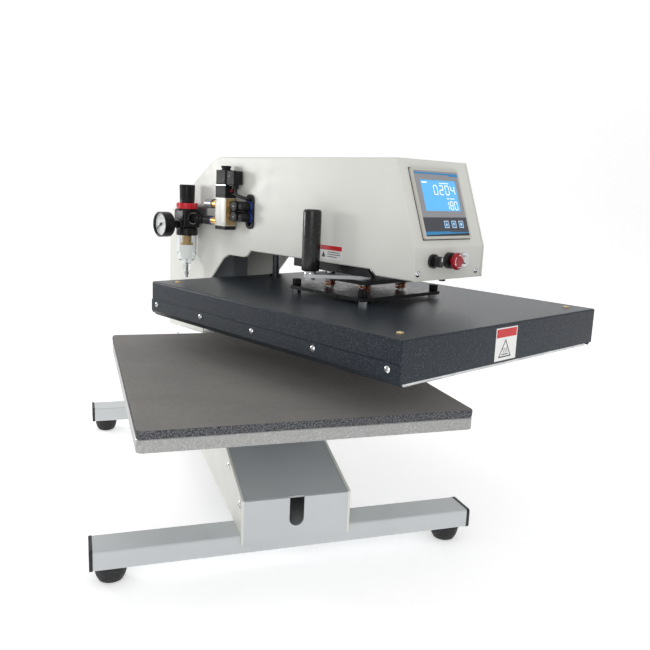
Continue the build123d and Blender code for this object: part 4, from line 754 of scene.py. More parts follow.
TIME_LEFT, TIME_FOOT, TIME_PITCH = -12.0, 1.6, 12.4
HEAT_LEFT, HEAT_FOOT, HEAT_PITCH = 8.0, -19.4, 9.4
figures = []
for i, figure in enumerate("0204"):
    figures += digit(figure, TIME_LEFT + i * TIME_PITCH, TIME_FOOT, 7.6, 12.6, 1.25)
for i, figure in enumerate("180"):
    figures += digit(figure, HEAT_LEFT + i * HEAT_PITCH, HEAT_FOOT, 6.0, 11.2, 1.1)
figures += [oblong(-35.0, 17.4, -24.5, 19.0), oblong(2.0, 17.0, 22.0, 18.0), oblong(12.0, -4.6, 18.0, -3.6),
            oblong(20.0, -4.6, 29.0, -3.6)]
flat_piece("crystal_figures", figures, 0.08, 0.07, "arm", crystal_white, SCREEN)
for number, (a, b) in enumerate(zip(key_lows, key_highs), 1):
    rim, cx, cy = 0.9, (a.x + b.x) / 2, (a.y + b.y) / 2
    marks = [oblong(a.x, a.y, b.x, a.y + rim), oblong(a.x, b.y - rim, b.x, b.y),
             oblong(a.x, a.y + rim, a.x + rim, b.y - rim), oblong(b.x - rim, a.y + rim, b.x, b.y - rim)]
    if number == 1:
        marks.append([(cx - 2.0, cy - 1.6), (cx + 2.0, cy - 1.6), (cx, cy + 1.9)])
    elif number == 2:
        marks.append([(cx - 2.0, cy + 1.6), (cx, cy - 1.9), (cx + 2.0, cy + 1.6)])
    else:
        marks.append([(cx + 1.9 * math.cos(i * math.pi / 6), cy + 1.9 * math.sin(i * math.pi / 6))
                      for i in range(12)])
    flat_piece("key_print_%d" % number, marks, b.z + 0.06, 0.1, "key_%d" % number, key_white,
               SCREEN)

# ---- switches ----------------------------------------------------------------------------
# A two-position selector, a mushroom emergency stop and a chromed start button, each 22 mm
# style, clamped in the upright panel with its contact block behind.
switch_black = new_finish("switch_moulding", (20, 20, 21), 0.35)
gloss(switch_black, 0.28, 0.46, 500.0)
relief(switch_black, 0.00002, 1800.0, 2.0)
switch_red = new_finish("stop_red", (164, 20, 38), 0.28)
vary_colour(switch_red, object_grain(switch_red, 60.0), (0.3, (154, 16, 33)), (0.7, (174, 26, 44)))
gloss(switch_red, 0.22, 0.36, 500.0)
mark_white = print_ink("mark_white", (240, 240, 238), 0.4)
bright_chrome = new_finish("bright_chrome", (226, 227, 229), 0.08, 1.0)
gloss(bright_chrome, 0.05, 0.14, 300.0)
sockets = solids_of("switch_bodies", ARM)
start_low, start_high = arm_box("start_button")
start_ring = [s for s in sockets if s["low"].x > start_low.x - 5.0 and s["low"].y < start_high.y - 2.0]
other_sockets = [s for s in sockets if s not in start_ring]
solid_piece("start_ring", start_ring, "arm", bright_chrome, ARM)
socket_piece = solid_piece("switch_collars", other_sockets, "arm", switch_black, ARM)
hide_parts("switch_bodies")
brushed_disc = new_finish("turned_steel", (212, 213, 215), 0.3, 1.0)
gloss(brushed_disc, 0.2, 0.42, 900.0, 2.0)
relief(brushed_disc, 0.00003, 1200.0, 2.0)
finish_nodes(brushed_disc, "start_button")
finish_nodes(switch_black, "selector_knob")


def facing_front(x, y, z):
    """Arm place whose Z looks out of the upright panel, X across and Y up."""
    turn = Matrix(((1, 0, 0), (0, 0, 1), (0, -1, 0))).transposed().to_4x4()
    return ARM @ Matrix.Translation((x, y, z)) @ turn


def facing_left(x, y, z):
    """Arm place whose Z looks out of the arm's left side, X along its reach and Y up."""
    turn = Matrix(((0, -1, 0), (0, 0, 1), (-1, 0, 0))).transposed().to_4x4()
    return ARM @ Matrix.Translation((x, y, z)) @ turn


def arc_band(radius, width, start, end, steps=16):
    """A flat curved bar between two angles in degrees."""
    outer = [(radius + width / 2, start + (end - start) * i / steps) for i in range(steps + 1)]
    inner = [(radius - width / 2, end - (end - start) * i / steps) for i in range(steps + 1)]
    return [(r * math.cos(math.radians(a)), r * math.sin(math.radians(a))) for r, a in outer + inner]


stop_low, stop_high = arm_box("estop_button")
stop_place = facing_front((stop_low.x + stop_high.x) / 2, stop_high.y, (stop_low.z + stop_high.z) / 2)
stop_reach = stop_high.y - stop_low.y
stop_r = (stop_high.x - stop_low.x) / 2
mushroom = turn_profile([(0.0, 0.0), (4.9, 0.0), (5.0, stop_reach - 8.0), (7.4, stop_reach - 8.0),
                         (8.2, stop_reach - 6.6), (stop_r - 0.9, stop_reach - 5.9),
                         (stop_r - 0.1, stop_reach - 5.2), (stop_r, stop_reach - 4.4),
                         (stop_r, stop_reach - 2.8), (stop_r - 0.4, stop_reach - 1.3),
                         (stop_r - 1.5, stop_reach - 0.4), (stop_r - 3.4, stop_reach - 0.12),
                         (0.0, stop_reach - 0.12)], 64)
mushroom_piece = to_piece("stop_mushroom", mushroom, "emergency_stop", switch_red, stop_place)
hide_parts("estop_button")
arrows = []
ARC_R = 8.5
for start in (20.0, 140.0, 260.0):
    arrows.append(arc_band(ARC_R, 0.9, start, start + 62.0))
    corners = ((ARC_R - 1.3, start + 62.0), (ARC_R + 1.3, start + 62.0), (ARC_R, start + 80.0))
    arrows.append([(r * math.cos(math.radians(a)), r * math.sin(math.radians(a))) for r, a in corners])
flat_piece("stop_arrows", arrows, stop_reach - 0.02, 0.3, "emergency_stop", mark_white,
           stop_place)
knob_low, knob_high = arm_box("selector_knob")
flat_piece("selector_mark", [oblong(-0.8, 0.5, 0.8, 6.0)], 0.1, 0.1, "selector", mark_white,
           facing_front((knob_low.x + knob_high.x) / 2, knob_low.y,
                                         (knob_low.z + knob_high.z) / 2))

# ---- panel screws and foot ---------------------------------------------------------------
# Plated cross-head screws hold the front panel to the side plates. A small rubber button sits
# under its fold.
ARM_INSIDE = Vector((0.0, 0.0, 400.0))
panel_fixings = solids_of("panel_screws", ARM)
panel_heads = [s for s in panel_fixings if s["high"].y - s["low"].y < 4.0]
panel_heads_piece = place_all("panel_heads", cross_head,
                              head_seats(panel_heads, ARM_INSIDE, ARM), "arm",
                              bright_plate, "chrome_steel", Radius=0.0045, Height=0.0024,
                              Slot_Width=0.0011)
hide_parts("panel_screws")
solid_piece("panel_foot", [s for s in panel_fixings if s not in panel_heads], "arm", rubber,
            ARM)

# ---- filter regulator --------------------------------------------------------------------
# A die-cast black body on a steel bracket: ribbed knob and red lock ring above, clear bowl
# with a bronze filter below, a gauge to the left and the outlet towards the valve.
cast_black = new_finish("cast_black", (20, 20, 22), 0.32)
set_shader(cast_black, Specular_IOR_Level=0.3)
gloss(cast_black, 0.24, 0.46, 350.0, 3.0)
relief(cast_black, 0.00004, 1100.0, 3.0)


def fluted(profile, around, every, into=None, place=None):
    """A turned shape whose rings step in by a third value between ribs, slots or knurls."""
    shape = into or bmesh.new()
    place = place or Matrix.Identity(4)
    rings = []
    for radius, height, cut in profile:
        if radius == 0.0:
            rings.append([shape.verts.new(place @ Vector((0.0, 0.0, height)))])
            continue
        ring = []
        for i in range(around):
            r = radius - (cut if i % every * 2 < every else 0.0)
            a = 2 * math.pi * i / around
            ring.append(shape.verts.new(place @ Vector((r * math.cos(a), r * math.sin(a), height))))
        rings.append(ring)
    for low_ring, high_ring in zip(rings, rings[1:]):
        for i in range(around):
            j = (i + 1) % around
            corners = [low_ring[i % len(low_ring)], low_ring[j % len(low_ring)],
                       high_ring[j % len(high_ring)], high_ring[i % len(high_ring)]]
            unique = list(dict.fromkeys(corners))
            if len(unique) > 2:
                shape.faces.new(unique)
    return shape


def rounded_block(shape, low, high, radius, segments=3):
    """A block with every edge rounded."""
    corners = bmesh.ops.create_cube(shape, size=1.0)["verts"]
    for corner in corners:
        corner.co = Vector([(low[i] + high[i]) / 2 + corner.co[i] * (high[i] - low[i]) for i in range(3)])
    bmesh.ops.bevel(shape, geom=list({e for v in corners for e in v.link_edges}), offset=radius,
                    segments=segments, profile=0.5, affect="EDGES", clamp_overlap=True)


def along(origin, way):
    """Arm-frame place whose Z runs along a direction."""
    return Matrix.Translation(origin) @ Vector(way).to_track_quat("Z", "Y").to_matrix().to_4x4()


body_low, body_high = arm_box("regulator_body")
ring_low, ring_high = arm_box("regulator_ring")
knob_low, knob_high = arm_box("regulator_knob")
frl_x, frl_y = (body_low.x + body_high.x) / 2, (body_low.y + body_high.y) / 2
casting = bmesh.new()
rounded_block(casting, (body_low.x + 2.0, body_low.y + 2.0, body_low.z + 13.0),
              (body_high.x - 2.0, body_high.y - 2.0, ring_low.z), 4.5, 4)
axis_place = Matrix.Translation((frl_x, frl_y, 0.0))
fluted([(0.0, body_low.z + 6.0, 0.0), (16.2, body_low.z + 6.0, 0.0), (16.2, body_low.z, 0.0),
        (18.0, body_low.z, 0.0), (18.6, body_low.z + 0.8, 1.4), (18.6, body_low.z + 11.0, 1.4),
        (18.0, body_low.z + 12.0, 0.0), (17.2, body_low.z + 13.0, 0.0), (0.0, body_low.z + 13.4, 0.0)],
       96, 16, casting, axis_place)
turn_profile([(0.0, ring_low.z - 4.0), (17.0, ring_low.z - 4.0), (17.9, ring_low.z - 2.4),
              (17.9, ring_low.z), (7.2, ring_low.z), (7.2, body_high.z - 1.0), (6.4, body_high.z),
              (0.0, body_high.z)], 64, casting, axis_place)
gauge_low, gauge_high = arm_box("gauge_case")
outlet = next(s for s in solids_of("push_fittings", ARM) if s["high"].y > body_low.y - 1.0)
gauge_z, outlet_z = (gauge_low.z + gauge_high.z) / 2, (outlet["low"].z + outlet["high"].z) / 2
for way, height, radius, reach in (((-1, 0, 0), gauge_z, 10.5, 18.9), ((0, -1, 0), outlet_z, 11.5, 18.9),
                                   ((1, 0, 0), outlet_z - 6.0, 10.0, 18.9)):
    turn_profile([(0.0, 8.0), (radius, 8.0), (radius, reach - 1.2), (radius - 1.0, reach),
                  (radius - 3.4, reach), (radius - 3.8, reach - 1.0), (0.0, reach - 1.0)], 40, casting,
                 along((frl_x, frl_y, height), way))
turn_profile([(9.6, 10.0), (10.8, 10.0), (10.8, 19.0), (9.8, 19.0), (9.4, 18.0), (6.7, 18.0), (6.7, 7.0),
              (9.6, 7.0), (9.6, 10.0)], 40, casting, along((frl_x, frl_y, 400.0), (0, 1, 0)))
casting_piece = to_piece("regulator_casting", casting, "arm", cast_black, ARM)
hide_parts("regulator_body")
circlip = bmesh.new()
flat_shape(circlip, arc_band(9.4, 1.0, 35.0, 325.0, 30), 19.0, 0.8)
clip_piece = to_piece("outlet_circlip", circlip, "arm", bright_plate,
                      ARM @ along((frl_x, frl_y, outlet_z), (0, -1, 0)))
knob = fluted([(0.0, knob_high.z - 2.4, 0.0), (9.6, knob_high.z - 2.4, 0.0), (10.4, knob_high.z - 0.6, 0.0),
               (12.0, knob_high.z, 0.0), (13.0, knob_high.z - 0.5, 0.0), (13.5, knob_high.z - 2.0, 1.0),
               (12.9, knob_low.z + 6.0, 1.0), (12.6, knob_low.z + 3.0, 0.3), (12.8, knob_low.z + 1.0, 0.0),
               (12.4, knob_low.z, 0.0), (7.4, knob_low.z, 0.0), (7.4, knob_high.z - 5.0, 0.0),
               (0.0, knob_high.z - 5.0, 0.0)], 144, 8, None, axis_place)
knob_piece = to_piece("pressure_knob_ribbed", knob, "pressure_knob", cast_black, ARM)
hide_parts("regulator_knob")
lock_red = new_finish("lock_ring_red", (212, 30, 44), 0.35)
vary_colour(lock_red, object_grain(lock_red, 90.0), (0.3, (202, 24, 38)), (0.7, (220, 38, 50)))
gloss(lock_red, 0.28, 0.45, 600.0)
ring = fluted([(7.2, ring_low.z, 0.0), (17.8, ring_low.z, 0.0), (18.2, ring_low.z + 0.5, 0.0),
               (18.2, ring_low.z + 3.2, 0.0), (18.4, ring_low.z + 3.8, 1.3), (18.4, ring_high.z - 1.0, 1.3),
               (17.8, ring_high.z, 0.6), (13.4, ring_high.z, 0.0), (7.2, ring_high.z, 0.0),
               (7.2, ring_low.z, 0.0)], 120, 10, None, axis_place)
ring_lock = to_piece("lock_ring", ring, "arm", lock_red, ARM)
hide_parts("regulator_ring")
plated_steel = new_finish("zinc_plated", (178, 180, 182), 0.36, 0.9)
vary_colour(plated_steel, object_grain(plated_steel, 40.0), (0.3, (160, 162, 164)), (0.7, (196, 198, 200)))
gloss(plated_steel, 0.28, 0.46, 300.0)
finish_nodes(plated_steel, "regulator_bracket")
clear_bowl = new_finish("polycarbonate", (240, 243, 244), 0.05)
set_shader(clear_bowl, Transmission_Weight=1.0, IOR=1.32)
gloss(clear_bowl, 0.02, 0.09, 60.0)
finish_nodes(clear_bowl, "regulator_bowl")
clear_lens = new_finish("gauge_acrylic", (252, 253, 253), 0.03)
set_shader(clear_lens, Transmission_Weight=1.0, IOR=1.08)
gloss(clear_lens, 0.01, 0.05, 60.0)
finish_nodes(clear_lens, "gauge_lens")
finish_nodes(cast_black, "gauge_case", "gauge_pointer")
finish_nodes(plated_steel, "drain_valve")
finish_nodes(switch_red, "override_button")

# ---- gauge dial --------------------------------------------------------------------------
# A lacquered white disc behind the lens, with printed ticks for every tenth and plain figures
# from 0 to 10. The pointer turns just above it.
DIAL_DEPTH = 4.9
DIAL_R = 19.3
TICK_OUT = 17.6
FIGURE_R = 11.6
FIGURE_SIZE = 3.6
FIRST_ANGLE = 225.0
dial_low, dial_high = arm_box("gauge_lens")
dial_y, dial_z = (dial_low.y + dial_high.y) / 2, (dial_low.z + dial_high.z) / 2
DIAL = facing_left(dial_low.x + DIAL_DEPTH, dial_y, dial_z)
dial_white = print_ink("dial_white", (246, 246, 244), 0.4)
dial_black = print_ink("dial_black", (30, 30, 34), 0.4)
disc = bmesh.new()
flat_shape(disc, [(DIAL_R * math.cos(i * math.pi / 32), DIAL_R * math.sin(i * math.pi / 32))
                  for i in range(64)], 0.3, 0.25)
disc_piece = to_piece("gauge_dial", disc, "arm", dial_white, DIAL)
ticks = []
for n in range(41):
    angle = math.radians(FIRST_ANGLE - n * 6.75)
    inner = 14.6 if n % 4 == 0 else 16.2
    half = 0.32 if n % 4 == 0 else 0.16
    out, side = Vector((math.cos(angle), math.sin(angle))), Vector((-math.sin(angle), math.cos(angle)))
    ticks.append([tuple(out * r + side * w) for r, w in
                  ((inner, -half), (TICK_OUT, -half), (TICK_OUT, half), (inner, half))])
flat_piece("gauge_ticks", ticks, 0.36, 0.06, "arm", dial_black, DIAL)
for n in range(6):
    figure = bpy.data.curves.new("dial_figure", "FONT")
    figure.body, figure.size, figure.align_x, figure.align_y = str(n * 2), FIGURE_SIZE, "CENTER", "CENTER"
    holder = bpy.data.objects.new("dial_figure", figure)
    bpy.context.scene.collection.objects.link(holder)
    mesh = bpy.data.meshes.new_from_object(holder.evaluated_get(bpy.context.evaluated_depsgraph_get()))
    bpy.data.objects.remove(holder)
    angle = math.radians(FIRST_ANGLE - n * 54.0)
    number = to_piece("gauge_figure_%d" % (n * 2), mesh, "arm", dial_black,
                      DIAL @ Matrix.Translation((FIGURE_R * math.cos(angle), FIGURE_R * math.sin(angle),
                                                 0.36)))

# ---- valve -------------------------------------------------------------------------------
# A spool valve in an anodised body, moulded pilot and coil above it with a knurled nut and a
# plug, brass unions, a muffler, and two black banjo elbows that feed through the grommet. A thin
# tan sheet on the body's front face paints a warm reflection there.
valve_silver = new_finish("valve_anodised", (196, 195, 190), 0.45, 0.2)
gloss(valve_silver, 0.32, 0.5, 120.0, 4.0, (1.0, 1.0, 0.1))
relief(valve_silver, 0.00002, 1200.0, 2.0)
finish_nodes(valve_silver, "valve_body")
valve_low, valve_high = arm_box("valve_body")
brass = new_finish("machined_brass", (214, 172, 98), 0.26, 1.0)
vary_colour(brass, object_grain(brass, 70.0), (0.3, (202, 158, 84)), (0.7, (226, 186, 114)))
gloss(brass, 0.2, 0.38, 500.0)
# A thin tan sheet on the valve body's front face paints the warm reflection that face shows; the body
# itself is silver.
reflection_sheet = bmesh.new()
rounded_block(reflection_sheet, (valve_low.x + 0.6, valve_low.y - 1.3, valve_low.z + 1.5),
              (valve_high.x - 3.0, valve_low.y + 0.2, valve_high.z - 1.0), 0.5)
reflection_tan = new_finish("painted_reflection_tan", (196, 168, 118), 0.4, 0.6)
vary_colour(reflection_tan, object_grain(reflection_tan, 80.0), (0.3, (184, 156, 108)), (0.7, (206, 180, 130)))
gloss(reflection_tan, 0.32, 0.5, 500.0)
reflection_sheet_piece = to_piece("valve_painted_reflection_sheet", reflection_sheet, "arm", reflection_tan, ARM)
moulded_black = new_finish("coil_moulding", (22, 22, 23), 0.5)
set_shader(moulded_black, Specular_IOR_Level=0.25)
gloss(moulded_black, 0.42, 0.6, 260.0)
relief(moulded_black, 0.00003, 1500.0, 2.0)
finish_nodes(moulded_black, "valve_coil", "push_fittings")
coil_low, coil_high = arm_box("valve_coil")
VALVE_BACK = -77.0
valve_x, valve_y = (valve_low.x + VALVE_BACK) / 2, (valve_low.y + valve_high.y) / 2
nut = fluted([(0.0, coil_high.z - 0.8, 0.0), (2.6, coil_high.z - 0.8, 0.0), (3.2, coil_high.z, 0.0),
              (7.4, coil_high.z, 0.0), (8.2, coil_high.z - 0.8, 0.8), (8.2, coil_high.z - 3.4, 0.8),
              (6.4, coil_high.z - 4.2, 0.0), (6.4, coil_high.z - 5.4, 0.0), (8.0, coil_high.z - 6.0, 0.0),
              (8.0, coil_high.z - 6.9, 0.0), (0.0, coil_high.z - 6.9, 0.0)], 72, 6, None,
             Matrix.Translation((valve_x, valve_y, 0.0)))
nut_piece = to_piece("coil_nut_knurled", nut, "arm", moulded_black, ARM)
shim = bmesh.new()
rounded_block(shim, (valve_low.x + 0.6, valve_low.y + 0.8, valve_high.z + 20.05),
              (VALVE_BACK - 0.6, valve_high.y - 0.8, valve_high.z + 20.95), 0.2, 1)
shim_piece = to_piece("coil_yoke_plate", shim, "arm", bright_plate, ARM)
leftwards, frontwards = ((ARM.to_3x3() @ Vector(way)).normalized() for way in ((-1, 0, 0), (0, -1, 0)))
small_seats = [(ARM @ Vector(spot), way) for spot, way in (
    ((valve_low.x, valve_low.y + 3.6, valve_low.z + 4.0), leftwards),
    ((valve_low.x, valve_high.y - 3.6, valve_high.z - 4.0), leftwards),
    ((coil_low.x, valve_low.y - 10.0, coil_high.z - 17.0), leftwards),
    ((valve_low.x + 16.0, valve_low.y, valve_high.z + 6.0), frontwards),
    ((valve_low.x + 6.0, valve_low.y - 1.3, valve_low.z + 3.4), frontwards))]
place_all("valve_small_screws", cross_head, small_seats, "arm", bright_plate, "steel",
          Radius=0.0018, Height=0.0009, Slot_Width=0.0005)
unions = solids_of("brass_fittings", ARM)
silver_parts = [s for s in unions if s["low"].z > valve_low.z + 20.0 and s["low"].y > valve_high.y + 8.0]
muffler_tip = [s for s in silver_parts if s["high"].x - s["low"].x < 12.0]
FILTER_TOP = 395.0
filter_parts = [s for s in unions if s["high"].z < FILTER_TOP]
brass_parts = [s for s in unions if s not in silver_parts and s not in filter_parts]
union_piece = solid_piece("brass_unions", brass_parts, "arm", brass, ARM)
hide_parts("brass_fittings")
satin_steel = new_finish("satin_steel", (150, 152, 154), 0.38, 1.0)
gloss(satin_steel, 0.3, 0.46, 400.0)
muffler_barrel = [s for s in silver_parts if s not in muffler_tip]
solid_piece("muffler_body", muffler_barrel, "arm", satin_steel, ARM)
solid_piece("muffler_tip", muffler_tip, "arm", bush_bronze, ARM)
filter_brass = new_finish("filter_bronze", (224, 186, 124), 0.6, 0.4)
vary_colour(filter_brass, object_grain(filter_brass, 900.0), (0.3, (206, 166, 104)), (0.7, (236, 202, 144)))
relief(filter_brass, 0.0001, 1500.0)
solid_piece("filter_element", filter_parts, "arm", filter_brass, ARM)
collet_blue = new_finish("collet_blue", (38, 70, 168), 0.35)
vary_colour(collet_blue, object_grain(collet_blue, 200.0), (0.3, (32, 62, 156)), (0.7, (46, 80, 180)))
gloss(collet_blue, 0.28, 0.44, 700.0)
TUBES_TOP = 445.0
leads = solids_of("valve_leads", ARM)
tubes_low = [s for s in leads if s["high"].z < TUBES_TOP]
tube_piece = solid_piece("air_tubes", tubes_low, "arm", moulded_black, ARM)
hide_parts("valve_leads")
solid_piece("coil_cable", [s for s in leads if s not in tubes_low], "arm", rubber, ARM)
finish_nodes(rubber, "hose_grommet")
collets = bmesh.new()
union_black = bmesh.new()
elbows = [s for s in solids_of("push_fittings", ARM) if s["low"].y < valve_low.y - 10.0]
elbow_heights = sorted({(s["low"].z + s["high"].z) / 2 for s in elbows})
elbow_x, elbow_reach = elbows[0]["low"].x + 8.0, elbows[0]["low"].y + 8.0
for height in elbow_heights:
    turn_profile([(8.02, 0.0), (8.3, 0.0), (8.42, 0.3), (8.42, 3.7), (8.3, 4.0), (8.02, 4.0),
                  (8.02, 0.0)], 48, collets, along((elbow_x + 7.2, elbow_reach, height), (1, 0, 0)))
UNION_HALF = 8.0
outlet_x = (outlet["low"].x + outlet["high"].x) / 2
union_end = max(s["high"].y for s in unions if s["low"].y > valve_high.y - 1.0
                and s["high"].z < outlet_z + UNION_HALF and s["low"].z > outlet_z - UNION_HALF)
turn_profile([(4.1, 0.2), (6.6, 0.2), (7.0, 0.8), (7.0, 2.6), (6.6, 3.2), (4.1, 3.2), (4.1, 0.2)], 40,
             collets, along((outlet_x, union_end, outlet_z), (0, 1, 0)))
turn_profile([(4.1, 3.4), (6.4, 3.4), (7.6, 4.4), (7.6, 22.0), (6.8, 23.0), (4.1, 23.0), (4.1, 3.4)], 40,
             union_black, along((outlet_x, union_end, outlet_z), (0, 1, 0)))
collet_piece = to_piece("release_collets", collets, "arm", collet_blue, ARM)
union_body = to_piece("link_union", union_black, "arm", moulded_black, ARM)
knuckles = bmesh.new()
dots = bmesh.new()
for height in elbow_heights:
    fluted([(7.0, 0.0, 0.0), (7.9, 0.3, 0.0), (8.3, 1.2, 0.5), (8.3, 6.4, 0.5), (7.9, 7.2, 0.0),
            (7.0, 7.6, 0.0)], 60, 6, knuckles, along((elbow_x, valve_low.y - 7.0, height), (0, -1, 0)))
    turn_profile([(0.0, 7.0), (8.0, 7.0), (8.3, 7.6), (8.3, 9.4), (7.4, 10.4), (2.4, 10.6), (0.0, 10.6)],
                 40, knuckles, along((elbow_x, elbow_reach + 16.0, height), (-1, 0, 0)))
    turn_profile([(0.0, 10.5), (1.3, 10.5), (1.3, 10.9), (0.9, 11.2), (0.0, 11.3)], 24, dots,
                 along((elbow_x, elbow_reach + 16.0, height), (-1, 0, 0)))
knuckle_piece = to_piece("elbow_banjos", knuckles, "arm", moulded_black, ARM)
dot_piece = to_piece("elbow_screws", dots, "arm", bright_plate, ARM)

# ---- carriage ----------------------------------------------------------------------------
# Black enamelled plates carry the hot platen on four copper-plated springs between chromed
# studs and nuts. Black socket cap screws with knurled heads hold the outer corners.
spring_copper = new_finish("copper_plated_wire", (196, 118, 82), 0.25, 1.0)
vary_colour(spring_copper, object_grain(spring_copper, 120.0), (0.3, (176, 98, 64)), (0.7, (212, 136, 98)))
gloss(spring_copper, 0.18, 0.36, 700.0)
springs = solid_piece("copper_springs", solids_of("float_springs"), "heat_platen", spring_copper)
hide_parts("float_springs")
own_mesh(springs)
finish_nodes(bright_chrome, "carriage_studs")
rod_dark = new_finish("phosphated_rod", (84, 86, 90), 0.28, 1.0)
gloss(rod_dark, 0.2, 0.38, 120.0, 3.0, (1.0, 1.0, 0.1))
finish_nodes(rod_dark, "guide_rod")


def socket_cap_tree():
    """A knurled cap screw head with a hexagon socket, over its shank."""
    tree = bpy.data.node_groups.new("socket_cap_screw", "GeometryNodeTree")
    given, result = group_inputs(tree, Radius="Float", Height="Float", Socket="Float", Shank="Float",
                                 Length="Float", Material="Material")
    radius, height, socket, shank, length = (given.outputs[n] for n in
                                             ("Radius", "Height", "Socket", "Shank", "Length"))
    blank = tree_node(tree, "GeometryNodeMeshCylinder", {"Radius": radius, "Depth": height},
                      Vertices=72, Side_Segments=6, Fill_Segments=1)
    spot = tree_node(tree, "GeometryNodeInputPosition")
    parts = tree_node(tree, "ShaderNodeSeparateXYZ", {0: spot.outputs[0]})
    turn = math_node(tree, "ARCTAN2", parts.outputs["Y"], parts.outputs["X"])
    teeth = math_node(tree, "COSINE", math_node(tree, "MULTIPLY", turn, 36.0))
    share = math_node(tree, "DIVIDE", parts.outputs["Z"], height)
    rim = math_node(tree, "GREATER_THAN", math_node(tree, "ABSOLUTE", share), 0.45)
    cut = math_node(tree, "ADD", math_node(tree, "MULTIPLY", teeth, 0.022),
                    math_node(tree, "MULTIPLY", rim, -0.05))
    swell = math_node(tree, "ADD", cut, 0.975)
    grown = tree_node(tree, "ShaderNodeVectorMath", {0: spot.outputs[0]}, operation="MULTIPLY")
    sizes = tree_node(tree, "ShaderNodeCombineXYZ", {"X": swell, "Y": swell}, Z=1.0)
    tree.links.new(sizes.outputs[0], grown.inputs[1])
    knurled = tree_node(tree, "GeometryNodeSetPosition",
                        {"Geometry": blank.outputs["Mesh"], "Position": grown.outputs[0]})
    bore = tree_node(tree, "GeometryNodeMeshCylinder", {"Radius": socket, "Depth": height}, Vertices=6)
    lift = tree_node(tree, "ShaderNodeCombineXYZ", {"Z": math_node(tree, "MULTIPLY", height, 0.5)})
    lifted = tree_node(tree, "GeometryNodeTransform", {"Geometry": bore.outputs["Mesh"],
                                                       "Translation": lift.outputs[0]})
    head = tree_node(tree, "GeometryNodeMeshBoolean",
                     {"Mesh 1": knurled.outputs["Geometry"], "Mesh 2": lifted.outputs["Geometry"]},
                     operation="DIFFERENCE")
    stem = tree_node(tree, "GeometryNodeMeshCylinder", {"Radius": shank, "Depth": length}, Vertices=32)
    drop = math_node(tree, "MULTIPLY", math_node(tree, "ADD", length, height), -0.5)
    down = tree_node(tree, "ShaderNodeCombineXYZ", {"Z": drop})
    lowered = tree_node(tree, "GeometryNodeTransform", {"Geometry": stem.outputs["Mesh"],
                                                        "Translation": down.outputs[0]})
    joined = tree_node(tree, "GeometryNodeJoinGeometry")
    tree.links.new(lowered.outputs["Geometry"], joined.inputs[0])
    tree.links.new(head.outputs["Mesh"], joined.inputs[0])
    rise = tree_node(tree, "ShaderNodeCombineXYZ", {"Z": math_node(tree, "MULTIPLY", height, 0.5)})
    raised = tree_node(tree, "GeometryNodeTransform", {"Geometry": joined.outputs[0],
                                                       "Translation": rise.outputs[0]})
    scatter(tree, given, result, raised.outputs["Geometry"])
    return tree


mount_high = arm_box("mounting_plate")[1]
bolt_low, bolt_high = arm_box("corner_bolts")
bolt_seats = [(ARM @ Vector(((s["low"].x + s["high"].x) / 2, (s["low"].y + s["high"].y) / 2, mount_high.z)),
               Vector((0.0, 0.0, 1.0))) for s in solids_of("corner_bolts", ARM)]
oxide_black = new_finish("black_oxide", (26, 26, 28), 0.34, 0.6)
gloss(oxide_black, 0.26, 0.46, 500.0)
cap_screws = place_all("corner_cap_screws", socket_cap_tree(), bolt_seats, "heat_platen", oxide_black,
                       "black_paint", Radius=0.0066, Height=(bolt_high.z - mount_high.z) / 1000,
                       Socket=0.0028, Shank=0.004, Length=(mount_high.z - bolt_low.z) / 1000)
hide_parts("corner_bolts")

# ---- handle ------------------------------------------------------------------------------
# A flat bright steel bar from the upper plate, with a turned phenolic grip clamped on its stud
# by a nut and washer.
bar_steel = new_finish("bright_drawn_steel", (186, 188, 190), 0.28, 1.0)
gloss(bar_steel, 0.2, 0.4, 130.0, 4.0, (0.15, 1.0, 1.0))
relief(bar_steel, 0.00002, 500.0, 3.0, (0.1, 1.0, 1.0))
finish_nodes(bar_steel, "handle_bar")
grip_black = new_finish("phenolic_grip", (20, 20, 21), 0.22)
gloss(grip_black, 0.16, 0.32, 160.0)
relief(grip_black, 0.00002, 700.0, 2.0)
grip_low, grip_high = arm_box("handle_grip")
grip_r = (grip_high.x - grip_low.x) / 2
grip_place = ARM @ Matrix.Translation(((grip_low.x + grip_high.x) / 2, (grip_low.y + grip_high.y) / 2, 0.0))
low_z, high_z = grip_low.z, grip_high.z
grip = turn_profile([(5.3, low_z), (grip_r - 2.4, low_z), (grip_r - 0.8, low_z + 0.8),
                     (grip_r - 0.2, low_z + 2.4), (grip_r, low_z + 20.0), (grip_r, high_z - 5.0),
                     (grip_r - 0.3, high_z - 2.4), (grip_r - 1.3, high_z - 0.7), (grip_r - 2.7, high_z),
                     (grip_r - 3.8, high_z - 0.3), (grip_r - 5.2, high_z - 1.8),
                     (grip_r - 8.4, high_z - 2.9), (4.2, high_z - 3.2), (4.0, high_z - 6.0),
                     (0.0, high_z - 6.0)], 72)
grip_piece = to_piece("grip_turned", grip, "press_head", grip_black, grip_place)
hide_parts("handle_grip")
washer = turn_profile([(4.1, low_z - 3.95), (9.2, low_z - 3.95), (9.4, low_z - 3.5), (9.2, low_z - 2.7),
                       (4.1, low_z - 2.7), (4.1, low_z - 3.95)], 48)
turn_profile([(4.1, low_z - 2.65), (7.0, low_z - 2.65), (7.8, low_z - 2.2), (7.8, low_z - 0.5),
              (7.0, low_z - 0.05), (4.1, low_z - 0.05), (4.1, low_z - 2.65)], 6, washer)
washer_piece = to_piece("grip_nut", washer, "press_head", bright_chrome, grip_place)

